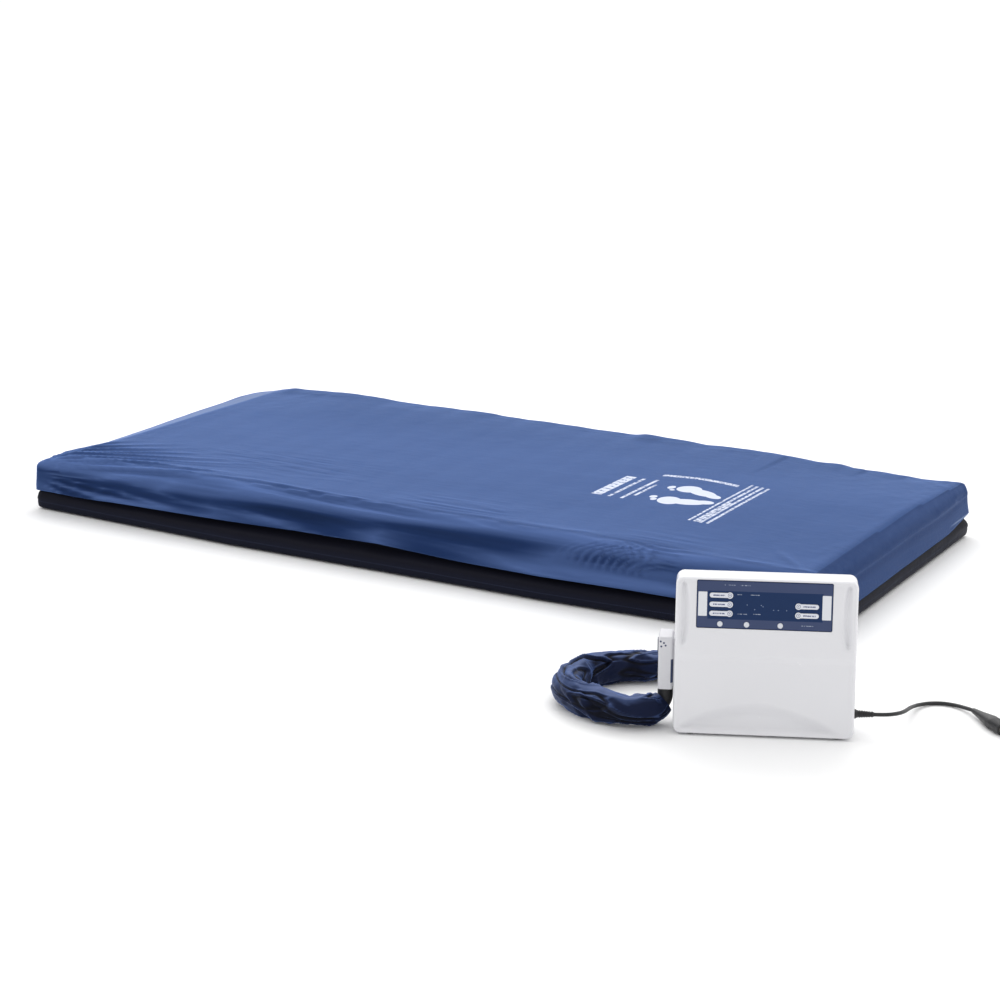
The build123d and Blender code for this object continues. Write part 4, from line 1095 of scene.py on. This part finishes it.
def relief(x, up):
    """How far the front face stands out or in, in metres: leaf-shaped valleys at the sides of the
    panel, a faint break across the middle, and an arched step along the bottom."""
    valley_up, half_long, half_wide, valley_depth, valley_bow = 0.215, 0.060, 0.0068, 0.0078, 0.0035
    break_depth, arch_depth = 0.0024, 0.0095
    lift = np.zeros_like(x)
    for centre in (-0.1385, 0.1375):
        along = (up - valley_up) / half_long
        width = half_wide * np.sqrt(np.clip(1 - along**2, 0, 1)) + 1e-5
        bow = centre + np.sign(centre) * valley_bow * along**2
        lift -= valley_depth * np.exp(-(((x - bow) / width) ** 2)) * smoothstep(1.0, 0.8, np.abs(along))
    lift -= break_depth * smoothstep(0.143, 0.130, up)
    arch = np.interp(x, [-0.155, -0.126, -0.101, -0.061, -0.025, 0.010, 0.044, 0.094, 0.130, 0.155],
                     [0.010, 0.029, 0.040, 0.052, 0.058, 0.057, 0.049, 0.033, 0.012, 0.0])
    below = smoothstep(0.005, -0.022, up - arch)
    return lift - arch_depth * below


def make_front_shell():
    """The case's front: rounded corners and edges, the sculpted face, and the panel's opening."""
    low, high, half = PUMP_FOOT, PUMP_HEIGHT, PUMP_WIDTH / 2
    step, side_rows, wall = 0.0021, 8, 0.0025
    xs = np.linspace(-half, half, round(2 * half / step) + 1)
    zs = np.linspace(low, high, round((high - low) / step) + 1)
    gx, gz = np.meshgrid(xs, zs, indexing="ij")
    # the grid's square corners drawn in to round ones
    cx, cz = np.clip(gx, CORNER - half, half - CORNER), np.clip(gz, low + CORNER, high - CORNER)
    dx, dz = gx - cx, gz - cz
    reach, square = np.hypot(dx, dz), np.maximum(np.abs(dx), np.abs(dz))
    scale = np.where(reach > 1e-9, square / np.maximum(reach, 1e-9), 1)
    px, pz = cx + dx * scale, cz + dz * scale
    # how far in from the outline each point is, and how far the rounded edge falls back there
    straight = np.minimum(half - np.abs(gx), np.minimum(gz - low, high - gz))
    inner = np.where(square > 0, CORNER - square, straight)
    fall = EDGE - np.sqrt(np.clip(EDGE**2 - (EDGE - np.clip(inner, 0, EDGE)) ** 2, 0, None))
    raised = relief(px, pz / math.cos(PUMP_LEAN)) * smoothstep(0.002, 0.012, inner)
    depth = pz * math.tan(PUMP_LEAN) + fall - raised
    flat_x, flat_y, flat_z = px.ravel(), depth.ravel(), pz.ravel()
    points = [tuple(pump_point(*place)) for place in zip(flat_x, flat_y, flat_z)]

    def outside_panel(i, j):
        x, up = (xs[i] + xs[i + 1]) / 2, (zs[j] + zs[j + 1]) / 2 / math.cos(PUMP_LEAN)
        beside = abs(x - PANEL_X) >= PANEL_WIDTH / 2 - PANEL_LAP
        return beside or abs(up - PANEL_CENTRE) >= PANEL_LENGTH / 2 - PANEL_LAP

    def side_point(start, row):
        y = flat_y[start] + (PARTING - flat_y[start]) * row / side_rows
        return tuple(pump_point(flat_x[start], y, flat_z[start]))

    faces, rim = grid_faces(len(xs), len(zs), outside_panel)
    add_skirt(points, faces, rim, side_rows, side_point)
    shell = mesh_object("case_front", points, faces, case_white)
    remove_loose(shell)
    thicken(shell, wall)
    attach(shell, ROOT)
    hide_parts("front_shell")
    return shell


def remove_loose(piece):
    """Takes away the vertices that no face uses, such as those in the panel's opening."""
    work = bmesh.new()
    work.from_mesh(piece.data)
    bmesh.ops.delete(work, geom=[v for v in work.verts if not v.link_faces], context="VERTS")
    work.to_mesh(piece.data)
    work.free()


def gloss_plastic(name, color, roughness):
    """Glossy moulded plastic with the faintest orange peel."""
    paint = Paint(name, color, roughness, Coat_Weight=0.35, Coat_Roughness=0.08)
    paint.bump(paint.noise(260, 2.0), 0.00003, 0.5)
    paint.color(paint.mix(paint.noise(7, 3.0), color, shaded(color, 0.96)))
    paint.rough(paint.noise(40, 3.0), 0.06)
    return paint.material


case_white = gloss_plastic("case_white", (0.77, 0.77, 0.80), 0.26)
make_front_shell()


# ---------------------------------------------------------------- materials of the CAD pieces
KEY_WHITE = (0.72, 0.74, 0.80)
# the overlay's short marks: middle across and up the face, and half length
PANEL_MARKS = (
    (-0.0715, 0.2655, 0.0016), (-0.060, 0.2655, 0.006), (-0.037, 0.2655, 0.0085),
    (-0.046, 0.2495, 0.004), (-0.020, 0.2495, 0.0075),
    (-0.041, 0.2160, 0.008), (-0.016, 0.2165, 0.006), (0.070, 0.1990, 0.010),
)
PANEL_LAMPS = (
    (-0.033, 0.2322), (-0.009, 0.2322), (-0.006, 0.2300), (0.012, 0.2245), (0.020, 0.2245), (0.034, 0.2245),
    (-0.020, 0.2245),
)
COUPLER_DOTS = ((-0.179, 0.157), (-0.1735, 0.1545), (-0.178, 0.148), (-0.1705, 0.150))


def face_place(paint):
    """A point's place on the pump's front face: across it and up it."""
    return paint.dot(across, PUMP_ORIGIN), paint.dot(face_up, PUMP_ORIGIN)


def panel_paint():
    """Printed overlay: slate bands above and below a navy field, with lamps and short marks."""
    paint = Paint("panel_print", (0.05, 0.08, 0.2), 0.30, Specular_IOR_Level=0.15)
    x, up = face_place(paint)
    slate, navy = (0.050, 0.068, 0.142), (0.0125, 0.032, 0.098)
    field = paint.box(x, up, (-0.0023, 0.2307), (0.0978, 0.0243), 0.0006)
    edge = paint.minus(1.0, paint.box(x, up, (PANEL_X, PANEL_CENTRE), (0.1143, 0.0400), 0.0004))
    cloudy = paint.mix(paint.noise(40, 2.0), slate, shaded(slate, 1.12))
    color = paint.mix(field, cloudy, navy)
    color = paint.mix(edge, color, (0.012, 0.020, 0.060))
    marks = [paint.box(x, up, (mark_x, mark_up), (half, 0.0006)) for mark_x, mark_up, half in PANEL_MARKS]
    dashes = paint.ramp(paint.noise((900, 900, 40), 0.0), 0.42, 0.5)
    text = paint.times(paint.either(marks), dashes)
    color = paint.mix(paint.times(text, 0.7), color, (0.50, 0.56, 0.68))
    lamps = [paint.ellipse(x, up, place, (0.0008, 0.0008), edge=0.3) for place in PANEL_LAMPS]
    color = paint.mix(paint.times(paint.either(lamps), 0.8), color, (0.30, 0.38, 0.55))
    paint.color(color)
    paint.bump(paint.noise(900, 2.0), 0.00002)
    return paint.material


def key_paint(name, disc_x, row, mark_from, mark_to):
    """White key with a dark line of print on the pill and a ring round the disc."""
    paint = Paint(name, KEY_WHITE, 0.4)
    x, up = face_place(paint)
    bar = paint.box(x, up, ((mark_from + mark_to) / 2, row), (abs(mark_to - mark_from) / 2, 0.0012))
    dashes = paint.ramp(paint.noise((1500, 1500, 60), 0.0), 0.36, 0.46)
    outer, inner, symbol = (
        paint.ellipse(x, up, (disc_x, row), (radius, radius)) for radius in (0.0036, 0.0026, 0.0011)
    )
    ring = paint.math("MAXIMUM", paint.minus(outer, inner), symbol)
    ink = paint.math("MAXIMUM", paint.times(bar, dashes), paint.times(ring, 0.75))
    paint.color(paint.mix(ink, KEY_WHITE, (0.06, 0.08, 0.20)))
    paint.bump(paint.noise(900, 2.0), 0.00002)
    return paint.material


def coupler_paint():
    """Light grey plastic, a few dark dots near its top, and a dark strip of painted shadow for the gap beside
    the case.
    """
    paint = Paint("coupler_grey", (0.66, 0.66, 0.69), 0.38)
    x = paint.dot(across, PUMP_ORIGIN)
    up = paint.dot(upwards)
    front = paint.ramp(paint.dot(backwards, PUMP_ORIGIN), 0.047, 0.044)
    dots = [paint.ellipse(x, up, place, (0.0018, 0.0018), edge=0.15) for place in COUPLER_DOTS]
    # painted shadow: a dark strip on the front face where the gap between coupler and case lies in shade; the
    # dots are print
    painted_gap_shadow = paint.box(x, up, (-0.1590, 0.1035), (0.0022, 0.0215), 0.0004)
    ink = paint.times(paint.either([*dots, painted_gap_shadow]), front)
    grey = paint.mix(paint.noise(18, 3.0), (0.66, 0.66, 0.69), (0.60, 0.60, 0.63))
    paint.color(paint.mix(ink, grey, (0.03, 0.045, 0.11)))
    paint.bump(paint.noise(1400, 2.0), 0.00004)
    return paint.material


def board_paint():
    """Green circuit board with copper tracks; what stands on it is black."""
    paint = Paint("board_green", (0.03, 0.17, 0.08), 0.4)
    depth = paint.dot(face_normal, PUMP_ORIGIN)
    board = paint.box(depth, depth, (-0.0128, -0.0128), (0.0009, 0.0009), 0.0001)
    tracks = paint.ramp(paint.cells(260), 0.30, 0.34)
    green = paint.mix(tracks, (0.02, 0.12, 0.06), (0.05, 0.22, 0.10))
    paint.color(paint.mix(board, (0.015, 0.015, 0.018), green))
    return paint.material


def foam_paint(name, color):
    paint = Paint(name, color, 0.9)
    paint.bump(paint.cells(700), 0.0006, 0.8)
    paint.color(paint.mix(paint.cells(420), color, shaded(color, 0.7)))
    return paint.material


def tube_paint():
    paint = Paint("clear_tube", (0.70, 0.74, 0.76), 0.25, Transmission_Weight=0.45, IOR=1.45)
    paint.color(paint.mix(paint.noise(60, 3.0), (0.70, 0.74, 0.76), (0.60, 0.66, 0.70)))
    return paint.material


cell_cloth = woven("cell_skin", (0.24, 0.28, 0.34), 0.6)
key_plastic = moulded("key_white", KEY_WHITE, 0.4)
dark_plastic = moulded("dark_plastic", (0.035, 0.045, 0.09), 0.4)
cast_metal = metal("cast_metal", (0.52, 0.53, 0.55), 0.45, (1, 0, 0))
bright_steel = metal("bright_steel", (0.62, 0.62, 0.64), 0.3, (0, 0, 1))
hook_grey = moulded("hook_grey", (0.42, 0.43, 0.45), 0.45, 0.00008, 1200, Metallic=0.2)
valve_plastic = moulded("valve_plastic", (0.70, 0.69, 0.65), 0.45)
window_white = gloss_plastic("window_white", (0.74, 0.76, 0.80), 0.3)
soft_foam = foam_paint("soft_foam", (0.55, 0.55, 0.52))
filter_foam = foam_paint("filter_foam", (0.05, 0.05, 0.055))
tube_plastic = tube_paint()

CAD_FINISH = {
    "rear_shell": case_white,
    "filter_cover": case_white,
    "control_panel": panel_paint(),
    "status_windows": window_white,
    "rubber_feet": black_rubber,
    "hose_cuff": black_rubber,
    "hose_coupler": coupler_paint(),
    "coupler_button": dark_plastic,
    "mains_rocker": dark_plastic,
    "hook_left": hook_grey,
    "hook_right": hook_grey,
    "hook_pins": bright_steel,
    "shell_screws": bright_steel,
    "zip_slider": bright_steel,
    "zip_tape": dark_plastic,
    "foam_base": soft_foam,
    "air_filter": filter_foam,
    "cell_carrier_sheet": cell_cloth,
    "air_line_a": tube_plastic,
    "air_line_b": tube_plastic,
    "internal_tubes": tube_plastic,
    "hose_entry_fitting": dark_plastic,
    "circuit_board": board_paint(),
    "compressor_housing": cast_metal,
    "compressor_arm": cast_metal,
    "distributor_body": valve_plastic,
    "distributor_rotor": valve_plastic,
}
for node in NODES:
    if node.startswith(("air_cell_", "static_head")):
        CAD_FINISH[node] = cell_cloth
    elif node.startswith("round_key"):
        CAD_FINISH[node] = key_plastic
# the pill keys: rows up the face, and across it the ring's place and the two ends of the print
for kind, rows, disc_x, mark_from, mark_to in (
    ("function_key", (0.2475, 0.2318, 0.2161), -0.0627, -0.091, -0.071),
    ("select_key", (0.2323, 0.2166), 0.054, 0.062, 0.083),
):
    for number, row in enumerate(rows, 1):
        finish = key_paint(f"{kind}_print_{number}", disc_x, row, mark_from, mark_to)
        CAD_FINISH[f"{kind}_{number}"] = finish
for node, material in CAD_FINISH.items():
    set_material(node, material)


# ---------------------------------------------------------------- floor and light
def make_stage():
    """A white floor out to the horizon, and a white room round it."""
    far = 120.0
    white = Paint("floor_white", (0.97, 0.97, 0.97), 0.6, Specular_IOR_Level=0.2).material
    corners = [(-far, -far, 0), (far, -far, 0), (far, far, 0), (-far, far, 0)]
    floor = mesh_object("floor", corners, [(0, 1, 2, 3)], white)
    floor.location.z = -0.0002
    world = bpy.data.worlds.new("studio")
    world.use_nodes = True
    nodes, links = world.node_tree.nodes, world.node_tree.links
    # white behind the object and overhead, dimmer towards the front
    facing = nodes.new("ShaderNodeVectorMath")
    facing.operation = "DOT_PRODUCT"
    facing.inputs[1].default_value = (-0.50, 0.86, 0.55)
    links.new(nodes.new("ShaderNodeTexCoord").outputs["Generated"], facing.inputs[0])
    shade = nodes.new("ShaderNodeMapRange")
    for end, value in (("From Min", -0.7), ("From Max", 0.6), ("To Min", 0.58), ("To Max", 1.25)):
        shade.inputs[end].default_value = value
    links.new(facing.outputs["Value"], shade.inputs["Value"])
    links.new(shade.outputs["Result"], nodes["Background"].inputs["Strength"])
    nodes["Background"].inputs["Color"].default_value = (1, 1, 1, 1)
    scene.world = world


def area_light(name, place, target, size, power):
    data = bpy.data.lights.new(name, "AREA")
    data.shape = "RECTANGLE"
    data.size, data.size_y = size
    data.energy = power
    light = bpy.data.objects.new(name, data)
    light.location = place
    light.rotation_euler = (Vector(target) - Vector(place)).to_track_quat("-Z", "Y").to_euler()
    scene.collection.objects.link(light)


make_stage()
area_light("overhead", (-0.6, 1.6, 3.0), (0.1, -0.2, 0), (3.4, 2.0), 55)
area_light("front_fill", (3.4, -4.4, 2.6), (0.9, -0.8, 0.1), (2.0, 2.0), 10)
